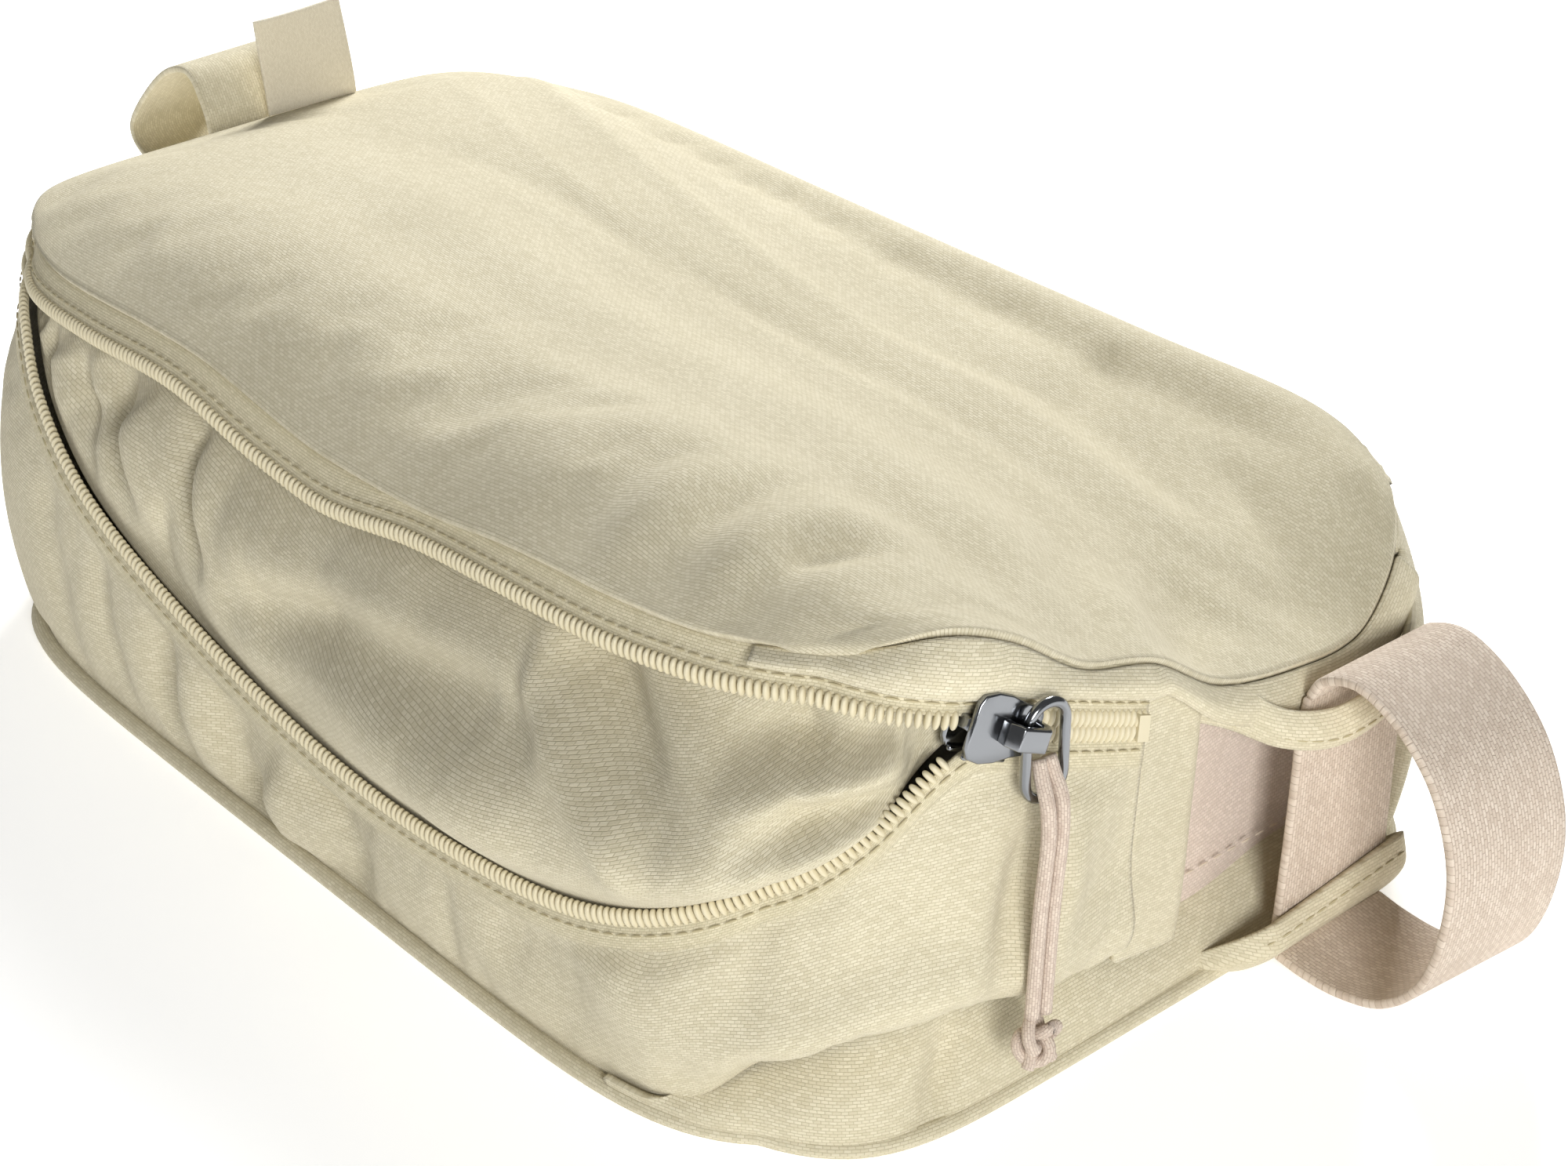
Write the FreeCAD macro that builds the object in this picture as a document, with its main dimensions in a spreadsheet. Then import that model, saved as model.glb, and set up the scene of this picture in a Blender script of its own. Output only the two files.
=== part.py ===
import FreeCAD, Part
import math
import os

# A soft compression packing pouch with a zip-out gusset, an end handle and a second, main zip.
# +X runs towards the handle end, -Y is the side with the open gusset, +Z is up.
# The origin is the centre of the flat base. All lengths are in millimetres.

V = FreeCAD.Vector
doc = FreeCAD.newDocument("pouch")
sheet = doc.addObject("Spreadsheet::Sheet", "Sizes")

SIZES = [
    ("baseHalfLength", 117.0), ("baseHalfWidth", 77.0), ("cornerPull", 0.143),
    ("endBulge", 3.0), ("endFlare", 5.0), ("rimShift", -1.0),
    ("sideBulge", 5.0), ("sideLean", 11.0), ("labelLift", 0.6), ("labelLean", 1.5),
    ("nearSideRim", 69.5), ("cornerAboveZip", 14.0), ("handleDipRim", 53.0),
    ("hiddenSideRim", 66.0), ("farEndRim", 70.0), ("domeRise", 11.0),
    ("panelCloth", 1.4), ("wallCloth", 1.2), ("gussetCloth", 0.8), ("seamGap", 0.3),
    ("foamThick", 4.0), ("foamGap", 0.6), ("foamInset", 0.14), ("liningCloth", 0.6),
    ("baseThick", 2.0), ("boardThick", 2.0), ("boardInset", 8.5),
    ("pipingHeight", 3.2), ("pipingDepth", 2.6), ("pipingLift", 0.3), ("pipingStandOff", 0.65),
    ("gussetTuck", 1.9), ("gussetBulge", 5.0), ("gussetOpening", 40.0),
    ("gussetLowDip", 27.5), ("coilWidth", 2.0), ("coilDepth", 2.0), ("rowGap", 0.2),
    ("tapeCloth", 0.6), ("tapeWidth", 7.0), ("tapeClear", 0.3), ("upperTapeShow", 5.5),
    ("closeHeight", 70.0), ("closeFall", 12.3),
    ("sliderLength", 12.4), ("sliderWidth", 10.4), ("plateThick", 1.1), ("channelHalf", 1.8),
    ("flangeThick", 1.0), ("flangeDrop", 0.4), ("postWidth", 2.0), ("postLength", 3.0),
    ("noseStart", -1.2), ("noseEnd", 6.0), ("nosePost", 1.3), ("noseWidth", 3.2),
    ("noseGap", 2.4), ("noseThick", 1.3), ("wireRadius", 0.8), ("ringWidth", 6.6),
    ("ringLegs", 8.5), ("ringTopLift", 0.6), ("wireOffset", 2.7),
    ("cordDiameter", 2.2), ("cordDrop", 36.0), ("mainCordDrop", 30.0), ("cordStandOff", 3.9), ("cordHang", 1.3), ("mainCordHang", 4.2),
    ("knotRadius", 4.2),
    ("knotLength", 8.5), ("mainZipHeight", 54.0),
    ("mainRingLean", 24.0), ("mainTapeWidth", 7.0),
    ("webbingWidth", 25.0), ("webbingThick", 1.5), ("handleSide", 31.5),
    ("handleReach", 29.5), ("handleRise", 56.0), ("strapFoot", 5.0), ("strapStand", 2.2),
    ("turnBack", 12.0), ("turnRadius", 19.5), ("tabLength", 34.0), ("tabDrop", 9.0),
    ("tabStand", 5.2), ("tabCloth", 1.4), ("canvasTuck", 5.0), ("canvasCloth", 1.0),
    ("foldCloth", 1.2), ("loopWidth", 20.0), ("loopReach", 33.5), ("loopRise", 14.0),
    ("loopCloth", 1.3), ("labelWidth", 20.0), ("labelHeight", 19.0), ("labelCloth", 1.0),
    ("labelSide", 12.0),
]
for row, (alias, value) in enumerate(SIZES, start=1):
    sheet.set(f"A{row}", alias)
    sheet.set(f"B{row}", str(value))
    sheet.setAlias(f"B{row}", alias)
doc.recompute()


def size(alias):
    return float(sheet.get(alias))


# ---- where things are round the pouch --------------------------------------------------
# A place on the outline is a turn number: 0 to 1 is the handle end from the gusset side to the
# hidden side, 1 to 2 the hidden side, 2 to 3 the far end and 3 to 4 the gusset side.
CLOSE_START, CLOSE_END = 0.19, 0.414        # the zipped part of the gusset zip, slider to seam
SPLIT_START, SPLIT_END = 2.98, 4.19         # where the two rows of the gusset zip part
ZIP_FAR_END = 2.61                          # the gusset zip goes round to the far end's seam panel
CANVAS_START, CANVAS_END = 0.46, 0.885      # the recessed panel behind the handle strap
HIDDEN_START, HIDDEN_END = 0.90, 2.39       # the walls of the hidden side
STOP_RUN = 0.02                             # the length of a zip's end stop
MAIN_START, MAIN_END = 1.15, 1.829          # the main zip's run on the hidden side


def through(points, at):
    """A smooth curve through (place, value) points, with flat ends."""
    if at <= points[0][0]:
        return points[0][1]
    if at >= points[-1][0]:
        return points[-1][1]
    slopes = [0.0]
    for (x0, y0), (x2, y2) in zip(points, points[2:]):
        slopes.append((y2 - y0) / (x2 - x0))
    slopes.append(0.0)
    for index, ((x0, y0), (x1, y1)) in enumerate(zip(points, points[1:])):
        if at <= x1:
            span = x1 - x0
            share = (at - x0) / span
            square, cube = share * share, share ** 3
            return ((2 * cube - 3 * square + 1) * y0 + (cube - 2 * square + share) * span * slopes[index]
                    + (3 * square - 2 * cube) * y1 + (cube - square) * span * slopes[index + 1])
    return points[-1][1]


def square_place(place):
    """The point of the unit square's edge that a turn number stands for."""
    place = place % 4.0
    side, share = int(place), 2.0 * (place % 1.0) - 1.0
    return ((1.0, share), (-share, 1.0), (-1.0, -share), (share, -1.0))[side]


def rounded(u, v, half_length, half_width):
    """A point of the unit square, moved on to the outline with its rounded corners."""
    pull = size("cornerPull")
    return (half_length * u * (1 - pull * u * u * v ** 6),
            half_width * v * (1 - pull * v * v * u ** 6))


def rim_height(place):
    """The height of the top panel's seam round the pouch."""
    near, dip = size("nearSideRim"), size("handleDipRim")
    corner = size("closeHeight") + size("cornerAboveZip")
    hidden, far = size("hiddenSideRim"), size("farEndRim")
    points = [(-0.5, near), (-0.4, near + 1), (-0.3, near + 4.5), (-0.12, near + 7.5), (0.0, corner - 4),
              (0.1, corner), (0.19, corner - 3), (0.3, 0.61 * corner + 0.39 * dip),
              (0.414, 0.45 * corner + 0.55 * dip), (0.52, 0.15 * corner + 0.85 * dip), (0.65, dip + 0.5),
              (0.78, dip), (0.87, 0.45 * dip + 0.55 * hidden), (0.95, hidden), (1.1, hidden + 1.5),
              (1.3, hidden), (1.8, hidden), (2.2, far), (2.8, far), (3.0, near + 1.5), (3.12, near + 1.5),
              (3.34, near + 4), (3.5, near)]
    place = place % 4.0
    return through(points, place if place < 3.5 else place - 4.0)


def wall(place, height, stand_off=0.0):
    """A point on the side wall, at a height, with an offset outwards."""
    share = height / rim_height(place)
    half_length = (size("baseHalfLength") + size("endBulge") * 4 * share * (1 - share)
                   + size("endFlare") * share * share + stand_off)
    half_width = (size("baseHalfWidth") + size("sideBulge") * 4 * share * (1 - share)
                  - size("sideLean") * share * share + stand_off)
    u, v = square_place(place)
    x, y = rounded(u, v, half_length, half_width)
    return V(x + size("rimShift") * share * share, y, height)


def close_height(place):
    """The height of the gusset zip where its rows are joined on the handle end."""
    share = (place % 4.0 - CLOSE_START) / (CLOSE_END - CLOSE_START)
    return size("closeHeight") - size("closeFall") * share


def far_zip_height():
    return size("farEndRim") - size("upperTapeShow") - size("rowGap")


def upper_row(place):
    """The height of the upper coil's centre line; place runs from 2.5 to 4.42."""
    half_row = (size("coilWidth") + size("rowGap")) / 2
    if place >= SPLIT_END:
        return close_height(place) + half_row
    if place <= SPLIT_START:
        return far_zip_height() + half_row
    show = size("upperTapeShow")
    points = [(SPLIT_START, far_zip_height() + half_row)]
    for along in (3.07, 3.2, 3.34, 3.44, 3.51, 3.6, 3.69, 3.8, 3.89):
        points.append((along, rim_height(along) - show))
    close = size("closeHeight")
    points += [(4.0, close + 3.6), (4.09, close + 3.2), (4.137, close + half_row + 1.1),
               (SPLIT_END, close + half_row)]
    return through(points, place)


def lower_row(place):
    """The height of the lower coil's centre line."""
    half_row = (size("coilWidth") + size("rowGap")) / 2
    if place >= SPLIT_END:
        return close_height(place) - half_row
    if place <= SPLIT_START:
        return far_zip_height() - half_row
    low, close = size("gussetLowDip"), size("closeHeight")
    points = [(SPLIT_START, far_zip_height() - half_row), (3.07, low + 32.5), (3.14, low + 25.5),
              (3.24, low + 16), (3.36, low + 8.5), (3.5, low + 2), (3.62, low), (3.74, low + 2),
              (3.84, low + 5.5), (3.93, low + 11.5), (4.0, low + 18.5), (4.07, close - 14),
              (4.137, close - half_row - 2.7), (SPLIT_END, close - half_row)]
    return through(points, place)


# ---- solids from two facing sheets of points -------------------------------------------
def sheet_surface(rows):
    surface = Part.BSplineSurface()
    surface.interpolate(rows)
    return surface


def cloth(front, back):
    """A closed solid between two grids of points that face each other."""
    outer, inner = sheet_surface(front), sheet_surface(back)
    faces = [outer.toShape(), inner.toShape()]
    u0, u1, v0, v1 = outer.bounds()
    p0, p1, q0, q1 = inner.bounds()
    pairs = [(outer.uIso(u0), inner.uIso(p0)), (outer.uIso(u1), inner.uIso(p1)),
             (outer.vIso(v0), inner.vIso(q0)), (outer.vIso(v1), inner.vIso(q1))]
    for first, second in pairs:
        faces.append(Part.makeRuledSurface(first.toShape(), second.toShape()))
    shell = Part.makeShell(faces)
    shell.sewShape()
    solid = Part.makeSolid(Part.Shell(shell.Faces) if shell.ShapeType != "Shell" else shell)
    if solid.Volume < 0:
        solid.reverse()
    return solid


def spaced(start, end, count):
    return [start + (end - start) * index / (count - 1) for index in range(count)]


def band(start, end, low, high, front, thick, columns=None, rows=5):
    """A strip of cloth that follows the wall from start to end, between two height curves.
    front gives the outer face's offset from the wall at a place and a share of the height."""
    columns = columns or max(10, int(44 * (end - start)))
    outer, inner = [], []
    for place in spaced(start, end, columns):
        bottom, top = low(place), high(place)
        outer_column, inner_column = [], []
        for share in spaced(0.0, 1.0, rows):
            height = bottom + (top - bottom) * share
            offset = front(place, share)
            outer_column.append(wall(place, height, offset))
            inner_column.append(wall(place, height, offset - thick))
        outer.append(outer_column)
        inner.append(inner_column)
    return cloth(outer, inner)


def flat_outline(half_length, half_width, bottom, top):
    """A flat plate with the pouch's rounded outline."""
    points = []
    for step in range(64):
        x, y = rounded(*square_place(step / 16.0), half_length, half_width)
        points.append(V(x, y, bottom))
    curve = Part.BSplineCurve()
    curve.interpolate(points, PeriodicFlag=True)
    face = Part.Face(Part.Wire(curve.toShape()))
    return face.extrude(V(0, 0, top - bottom))


def ribbon(path, thick, low_side, high_side):
    """A strip of even thickness along points (x, z), lying between two y values."""
    left, right = [], []
    for index, (x, z) in enumerate(path):
        before = path[max(index - 1, 0)]
        after = path[min(index + 1, len(path) - 1)]
        run = math.hypot(after[0] - before[0], after[1] - before[1])
        across = (-(after[1] - before[1]) / run * thick / 2, (after[0] - before[0]) / run * thick / 2)
        left.append(V(x + across[0], low_side, z + across[1]))
        right.append(V(x - across[0], low_side, z - across[1]))
    curves = []
    for points in (left, right):
        curve = Part.BSplineCurve()
        curve.interpolate(points)
        curves.append(curve.toShape())
    ends = [Part.makeLine(left[0], right[0]), Part.makeLine(left[-1], right[-1])]
    outline = Part.Wire(Part.__sortEdges__([curves[0], ends[1], curves[1], ends[0]]))
    return Part.Face(outline).extrude(V(0, high_side - low_side, 0))


def smooth_path(points, count):
    """Evenly parametrised points on a spline through a few (x, z) points."""
    curve = Part.BSplineCurve()
    curve.interpolate([V(x, 0, z) for x, z in points])
    return [(point.x, point.z) for point in curve.discretize(Number=count)]


MADE = []


def keep(label, shape, placement=None):
    """Adds a sub-part whose shape is worked out here."""
    item = doc.addObject("Part::Feature", label)
    item.Label = label
    item.Shape = shape
    if placement is not None:
        item.Placement = placement
    MADE.append(item)
    return item


# ---- base ------------------------------------------------------------------------------
def make_base():
    half_length, half_width = size("baseHalfLength"), size("baseHalfWidth")
    thick, gap = size("baseThick"), size("seamGap")
    keep("base_panel", flat_outline(half_length, half_width, 0, thick))
    inset = size("boardInset")
    keep("base_board", flat_outline(half_length - inset, half_width - inset,
                                    thick + gap, thick + gap + size("boardThick")))
    lift, height = size("pipingLift"), size("pipingHeight")
    stand = size("pipingStandOff") + size("pipingDepth")
    for label, start, end in (("base_piping_gusset_side", 2.53, 4.49), ("base_piping_hidden_side", 0.51, 2.51)):
        keep(label, band(start, end, lambda place: lift, lambda place: lift + height,
                         lambda place, share: stand, size("pipingDepth"), rows=3))


# ---- walls -----------------------------------------------------------------------------
def gusset_tape_low(place):
    return lower_row(place) - size("tapeWidth")


def make_walls():
    foot = size("baseThick") + size("seamGap")
    gap, thick = size("seamGap"), size("wallCloth")
    keep("gusset_side_wall", band(ZIP_FAR_END, 4 + CLOSE_END, lambda place: foot,
                                  lambda place: gusset_tape_low(place) - gap,
                                  lambda place, share: 0.0, thick))
    main, tape = size("mainZipHeight"), size("mainTapeWidth")
    half = size("coilWidth") + size("rowGap") / 2 + tape
    seam = 0.003
    full_height = {"high": lambda place: rim_height(place) - 4 * gap, "low": lambda place: foot}
    for label, start, end, low, high in (
            ("hidden_corner_wall", HIDDEN_START, MAIN_START - seam, full_height["low"], full_height["high"]),
            ("hidden_side_lower_wall", MAIN_START, MAIN_END, full_height["low"],
             lambda place: main - half - gap),
            ("hidden_side_upper_wall", MAIN_START, MAIN_END, lambda place: main + half + gap,
             full_height["high"]),
            ("hidden_far_wall", MAIN_END + seam, HIDDEN_END, full_height["low"], full_height["high"]),
            ("far_seam_panel", HIDDEN_END + seam, ZIP_FAR_END - seam, full_height["low"],
             full_height["high"])):
        keep(label, band(start, end, low, high, lambda place, share: 0.0, thick, rows=7))


def make_gusset():
    tuck, bulge = size("gussetTuck"), size("gussetBulge")
    opening, thick = size("gussetOpening"), size("gussetCloth")

    # Its lower edge is sewn behind the lower tape and its upper edge behind the upper one.
    hold = size("coilWidth") + 0.6

    def low(place):
        return lower_row(place) - hold

    def high(place):
        return upper_row(place) + hold

    def stand(place, share):
        spread = upper_row(place) - lower_row(place)
        clear = size("coilWidth") / 2 + 1.0
        height = low(place) + (high(place) - low(place)) * share - lower_row(place)
        free = min(1.0, max(0.0, (height - clear) / (spread - 2 * clear)))
        return -tuck + bulge * min(1.0, spread / opening) * math.sin(math.pi * free) ** 2

    keep("expansion_gusset", band(SPLIT_START + 0.04, SPLIT_END - 0.09, low, high, stand, thick,
                                  columns=40, rows=13))


def make_handle_end():
    foot, gap = size("baseThick") + size("seamGap"), size("seamGap")
    fold = size("foldCloth")
    keep("end_fold_gusset_side", band(CLOSE_END + 0.004, CANVAS_START + 0.04, lambda place: foot,
                                      lambda place: rim_height(place) - size("tabDrop") - gap,
                                      lambda place, share: 0.0, fold))
    keep("end_fold_hidden_side", band(CANVAS_END - 0.04, HIDDEN_START - 0.004, lambda place: foot,
                                      lambda place: rim_height(place) - size("tabDrop") - gap,
                                      lambda place, share: 0.0, fold))
    tuck = fold + gap
    keep("end_canvas", band(CANVAS_START, CANVAS_END, lambda place: foot + gap,
                            lambda place: rim_height(place) - 5 * gap,
                            lambda place, share: -tuck - size("canvasTuck")
                            * math.sin(math.pi * (place - CANVAS_START) / (CANVAS_END - CANVAS_START)),
                            size("canvasCloth")))
    clear_slider = size("sliderWidth") / 2 + 1.2

    def fascia_low(place):
        if place < CLOSE_END:
            return close_height(place) + clear_slider
        return rim_height(place) - size("tabDrop")

    keep("end_fascia_gusset_side", band(0.1, CLOSE_END - 0.002, fascia_low,
                                        lambda place: rim_height(place) - gap,
                                        lambda place, share: 2.1, fold, rows=3))
    keep("end_fascia", band(CLOSE_END + 0.002, HIDDEN_START - 0.004, fascia_low,
                            lambda place: rim_height(place) - gap,
                            lambda place, share: 0.0, fold, rows=3))


# ---- top -------------------------------------------------------------------------------
def top_height(u, v):
    """The height of the top panel's under side, from its seam's height and its dome."""
    def side_height(side, along):
        return rim_height(side + (along + 1) / 2)

    across, along = (1 + v) / 2, (1 + u) / 2
    gusset, hidden = side_height(3, u), side_height(1, -u)
    far, near = side_height(2, -v), side_height(0, v)
    corners = ((1 - along) * (1 - across) * rim_height(3) + along * (1 - across) * rim_height(0)
               + (1 - along) * across * rim_height(2) + along * across * rim_height(1))
    edges = (1 - across) * gusset + across * hidden + (1 - along) * far + along * near - corners
    return edges + size("domeRise") * (1 - u ** 4) * (1 - v ** 4)


def top_sheet(reach, lift, thick, columns=41, rows=29):
    """A layer of the top, out to a share of the way to the seam."""
    half_length = size("baseHalfLength") + size("endFlare")
    half_width = size("baseHalfWidth") - size("sideLean")
    upper, under = [], []
    for u in spaced(-reach, reach, columns):
        upper_column, under_column = [], []
        for v in spaced(-reach, reach, rows):
            x, y = rounded(u, v, half_length, half_width)
            z = top_height(u, v) + lift
            upper_column.append(V(x + size("rimShift"), y, z + thick))
            under_column.append(V(x + size("rimShift"), y, z))
        upper.append(upper_column)
        under.append(under_column)
    return cloth(upper, under)


def make_top():
    gap = size("foamGap")
    keep("top_panel", top_sheet(1.0, 0.0, size("panelCloth")))
    foam, inset = size("foamThick"), size("foamInset")
    keep("top_foam", top_sheet(1 - inset, -gap - foam, foam))
    keep("top_lining", top_sheet(1 - 0.7 * inset, -2 * gap - foam - size("liningCloth"), size("liningCloth")))


# ---- gusset zip ------------------------------------------------------------------------
def make_gusset_zip(mouth_place):
    coil, depth, gap = size("coilWidth"), size("coilDepth"), size("rowGap")
    tape, clear, cloth_thick = size("tapeWidth"), size("tapeClear"), size("tapeCloth")
    start, end = ZIP_FAR_END, 4 + CLOSE_END
    keep("gusset_zip_upper_tape", band(start, end, lambda place: upper_row(place) + coil / 2 + clear,
                                       lambda place: min(upper_row(place) + tape, rim_height(place) - clear),
                                       lambda place, share: 0.0, cloth_thick, columns=64, rows=3))
    keep("gusset_zip_lower_tape", band(start, end, lambda place: gusset_tape_low(place),
                                       lambda place: lower_row(place) - coil / 2 - clear,
                                       lambda place, share: 0.0, cloth_thick, columns=64, rows=3))
    proud = (depth - cloth_thick) / 2
    for label, row in (("gusset_zip_upper_coil", upper_row), ("gusset_zip_lower_coil", lower_row)):
        keep(label, band(start, mouth_place, lambda place, row=row: row(place) - coil / 2,
                         lambda place, row=row: row(place) + coil / 2,
                         lambda place, share: proud, depth, columns=60, rows=3))
    stop = STOP_RUN
    keep("gusset_zip_closed_chain", band(4 + CLOSE_START - 0.01, end - stop, lambda place: lower_row(place) - coil / 2,
                                         lambda place: upper_row(place) + coil / 2,
                                         lambda place, share: proud, depth, rows=3))
    keep("gusset_zip_end_stop", band(end - stop + 0.002, end - 0.002, lambda place: lower_row(place) - coil / 2,
                                     lambda place: upper_row(place) + coil / 2,
                                     lambda place, share: proud + 0.4, depth + 0.8, rows=3))


# ---- main zip --------------------------------------------------------------------------
def make_main_zip(chain_end):
    middle, coil, gap = size("mainZipHeight"), size("coilWidth"), size("rowGap")
    tape, clear = size("mainTapeWidth"), size("tapeClear")
    chain_half = coil + gap / 2
    cloth_thick, depth = size("tapeCloth"), size("coilDepth")
    proud = (depth - cloth_thick) / 2
    for label, low, high in (("main_zip_upper_tape", chain_half + clear, chain_half + tape),
                             ("main_zip_lower_tape", -chain_half - tape, -chain_half - clear)):
        keep(label, band(MAIN_START, MAIN_END, lambda place, low=low: middle + low,
                         lambda place, high=high: middle + high,
                         lambda place, share: 0.0, cloth_thick, columns=50, rows=3))
    stop = STOP_RUN
    keep("main_zip_chain", band(MAIN_START + stop, chain_end, lambda place: middle - chain_half,
                                lambda place: middle + chain_half, lambda place, share: proud,
                                depth, columns=50, rows=3))
    for label, start in (("main_zip_handle_end_stop", MAIN_START),
                         ("main_zip_far_end_stop", MAIN_END - stop + 0.003)):
        keep(label, band(start, start + stop - 0.003, lambda place: middle - chain_half,
                         lambda place: middle + chain_half, lambda place, share: proud + 0.4,
                         depth + 0.8, rows=3))


# ---- sliders, rings and cords ----------------------------------------------------------
def add_box(name, length, width, height, corner):
    box = doc.addObject("Part::Box", name)
    for key, formula in (("Length", length), ("Width", width), ("Height", height)):
        box.setExpression(key, formula)
    for axis, formula in zip("xyz", corner):
        box.setExpression(f"Placement.Base.{axis}", formula)
    return box


def cell(formula):
    """A formula whose size names are read from the sheet."""
    for alias, _ in sorted(SIZES, key=lambda item: -len(item[0])):
        formula = formula.replace("{" + alias + "}", f"Sizes.{alias}")
    return formula


def make_slider(label, placement):
    """A slider body: two plates and their flanges, the parting post and the nose that holds the ring.
    Its own x runs the way that it opens, y across the chain and z out of the pouch."""
    parts = [
        add_box(label + "_front_plate", cell("{sliderLength}"), cell("{sliderWidth}"), cell("{plateThick}"),
                (cell("-{sliderLength}/2"), cell("-{sliderWidth}/2"), cell("{channelHalf}"))),
        add_box(label + "_back_plate", cell("{sliderLength}"), cell("{sliderWidth}"), cell("{plateThick}"),
                (cell("-{sliderLength}/2"), cell("-{sliderWidth}/2"), cell("-{channelHalf}-{plateThick}"))),
        add_box(label + "_post", cell("{postLength}"), cell("{postWidth}"), cell("2*{channelHalf}"),
                (cell("-{sliderLength}/2"), cell("-{postWidth}/2"), cell("-{channelHalf}"))),
        add_box(label + "_nose_bar", cell("{noseEnd}-{noseStart}"), cell("{noseWidth}"), cell("{noseThick}"),
                (cell("{noseStart}"), cell("-{noseWidth}/2"), cell("{channelHalf}+{plateThick}+{noseGap}"))),
        add_box(label + "_nose_front", cell("{nosePost}"), cell("{noseWidth}"), cell("{noseGap}+{noseThick}"),
                (cell("{noseEnd}-{nosePost}"), cell("-{noseWidth}/2"), cell("{channelHalf}+{plateThick}"))),
        add_box(label + "_nose_back", cell("{nosePost}"), cell("{noseWidth}"), cell("{noseGap}+{noseThick}"),
                (cell("{noseStart}"), cell("-{noseWidth}/2"), cell("{channelHalf}+{plateThick}"))),
    ]
    for side, corner in (("high", "{sliderWidth}/2-{flangeThick}"), ("low", "-{sliderWidth}/2")):
        for face, base in (("front", "{channelHalf}-{flangeDrop}"), ("back", "-{channelHalf}")):
            parts.append(add_box(f"{label}_{side}_{face}_flange", cell("{sliderLength}"), cell("{flangeThick}"),
                                 cell("{flangeDrop}"), (cell("-{sliderLength}/2"), cell(corner), cell(base))))
    fused = doc.addObject("Part::MultiFuse", label)
    fused.Shapes = parts
    fused.Refine = True
    fused.Label = label
    fused.Placement = placement
    MADE.append(fused)
    return fused


def ring_wire():
    """The ring's centre line: a long loop hanging from its left leg's top, in its own x and y."""
    width, legs = size("ringWidth"), size("ringLegs")
    half = width / 2
    top, bottom = size("ringTopLift"), size("ringTopLift") - legs
    return Part.Wire([
        Part.LineSegment(V(0, bottom, 0), V(0, top, 0)).toShape(),
        Part.Arc(V(0, top, 0), V(half, top + half, 0), V(width, top, 0)).toShape(),
        Part.LineSegment(V(width, top, 0), V(width, bottom, 0)).toShape(),
        Part.Arc(V(width, bottom, 0), V(half, bottom - half, 0), V(0, bottom, 0)).toShape(),
    ])


def make_ring(label, placement):
    path = ring_wire()
    circle = Part.Wire(Part.makeCircle(size("wireRadius"), path.Edges[0].Vertexes[0].Point, V(0, 1, 0)))
    solid = path.makePipeShell([circle], True, False)
    keep(label, solid, placement)


def cord_route(turn_side, drop, hang):
    """One strand of the pull, from its bend round the ring's foot down to the knot.
    The foot's middle is the origin, y is up and z is out of the pouch."""
    stand = size("cordStandOff")
    side = turn_side * (size("cordDiameter") + 0.1) / 2
    return [V(side, 1.6, 0.43 * stand), V(side, -4.5, stand), V(side, -0.52 * drop, hang),
            V(side, -drop, hang)]


def rounded_wire(points, share=0.45):
    """Straight runs joined by tangent arcs, each as large as its two runs allow."""
    edges, last = [], points[0]
    for before, corner, after in zip(points, points[1:], points[2:]):
        into, out = (corner - before), (after - corner)
        turn = into.getAngle(out)
        if turn < 1e-4:
            continue
        cut = share * min(into.Length, out.Length)
        start = corner - into.normalize() * cut
        end = corner + out.normalize() * cut
        radius = cut / math.tan(turn / 2)
        toward = (end - corner) + (start - corner)
        centre = corner + toward.normalize() * math.hypot(radius, cut)
        middle = centre + (corner - centre).normalize() * radius
        if (start - last).Length > 1e-6:
            edges.append(Part.LineSegment(last, start).toShape())
        edges.append(Part.Arc(start, middle, end).toShape())
        last = end
        print(f"cord arc radius {radius:.1f} mm")
    edges.append(Part.LineSegment(last, points[-1]).toShape())
    return Part.Wire(edges)


def make_cord(label, turn_side, drop, hang, placement):
    path = rounded_wire(cord_route(turn_side, drop, hang))
    radius = size("cordDiameter") / 2
    start = path.Edges[0]
    heading = start.tangentAt(start.FirstParameter)
    circle = Part.Wire(Part.makeCircle(radius, start.valueAt(start.FirstParameter), heading))
    solid = path.makePipeShell([circle], True, False)
    expected = math.pi * radius ** 2 * path.Length
    print(f"{label} is {path.Length:.1f} mm long, volume over section times length {solid.Volume / expected:.4f}")
    keep(label, solid, placement)


def make_knot(label, drop, hang, placement):
    radius, length = size("knotRadius"), size("knotLength")
    knot = Part.makeSphere(radius)
    stretch = FreeCAD.Matrix()
    stretch.scale(1.0, length / (2 * radius), 0.9)
    knot = knot.transformGeometry(stretch)
    knot.translate(V(0, -drop - length / 2 - 0.1, hang))
    top_cut = Part.makeBox(4 * radius, length, 4 * radius, V(-2 * radius, -drop - 0.3, hang - 2 * radius))
    keep(label, knot.cut(top_cut), placement)


def frame_at(origin, x_axis, out_axis):
    """A placement whose x is x_axis and whose z is out_axis, at origin."""
    x_axis = V(x_axis).normalize()
    z_axis = V(out_axis)
    z_axis = (z_axis - x_axis * z_axis.dot(x_axis)).normalize()
    y_axis = z_axis.cross(x_axis)
    matrix = FreeCAD.Matrix(x_axis.x, y_axis.x, z_axis.x, origin.x, x_axis.y, y_axis.y, z_axis.y, origin.y,
                            x_axis.z, y_axis.z, z_axis.z, origin.z, 0, 0, 0, 1)
    return FreeCAD.Placement(matrix)


def hung_frame(slider_frame, outwards, lean):
    """The ring's frame: its left leg runs through the nose's gap, and its foot leans out by an angle."""
    lift = size("channelHalf") + size("plateThick") + size("noseGap") / 2
    origin = slider_frame.multVec(V(size("wireOffset"), 0, lift))
    flat = V(outwards.x, outwards.y, 0).normalize()
    turn = math.radians(lean)
    return frame_at(origin, V(0, 0, 1).cross(flat), flat * math.cos(turn) + V(0, 0, 1) * math.sin(turn))


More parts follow.
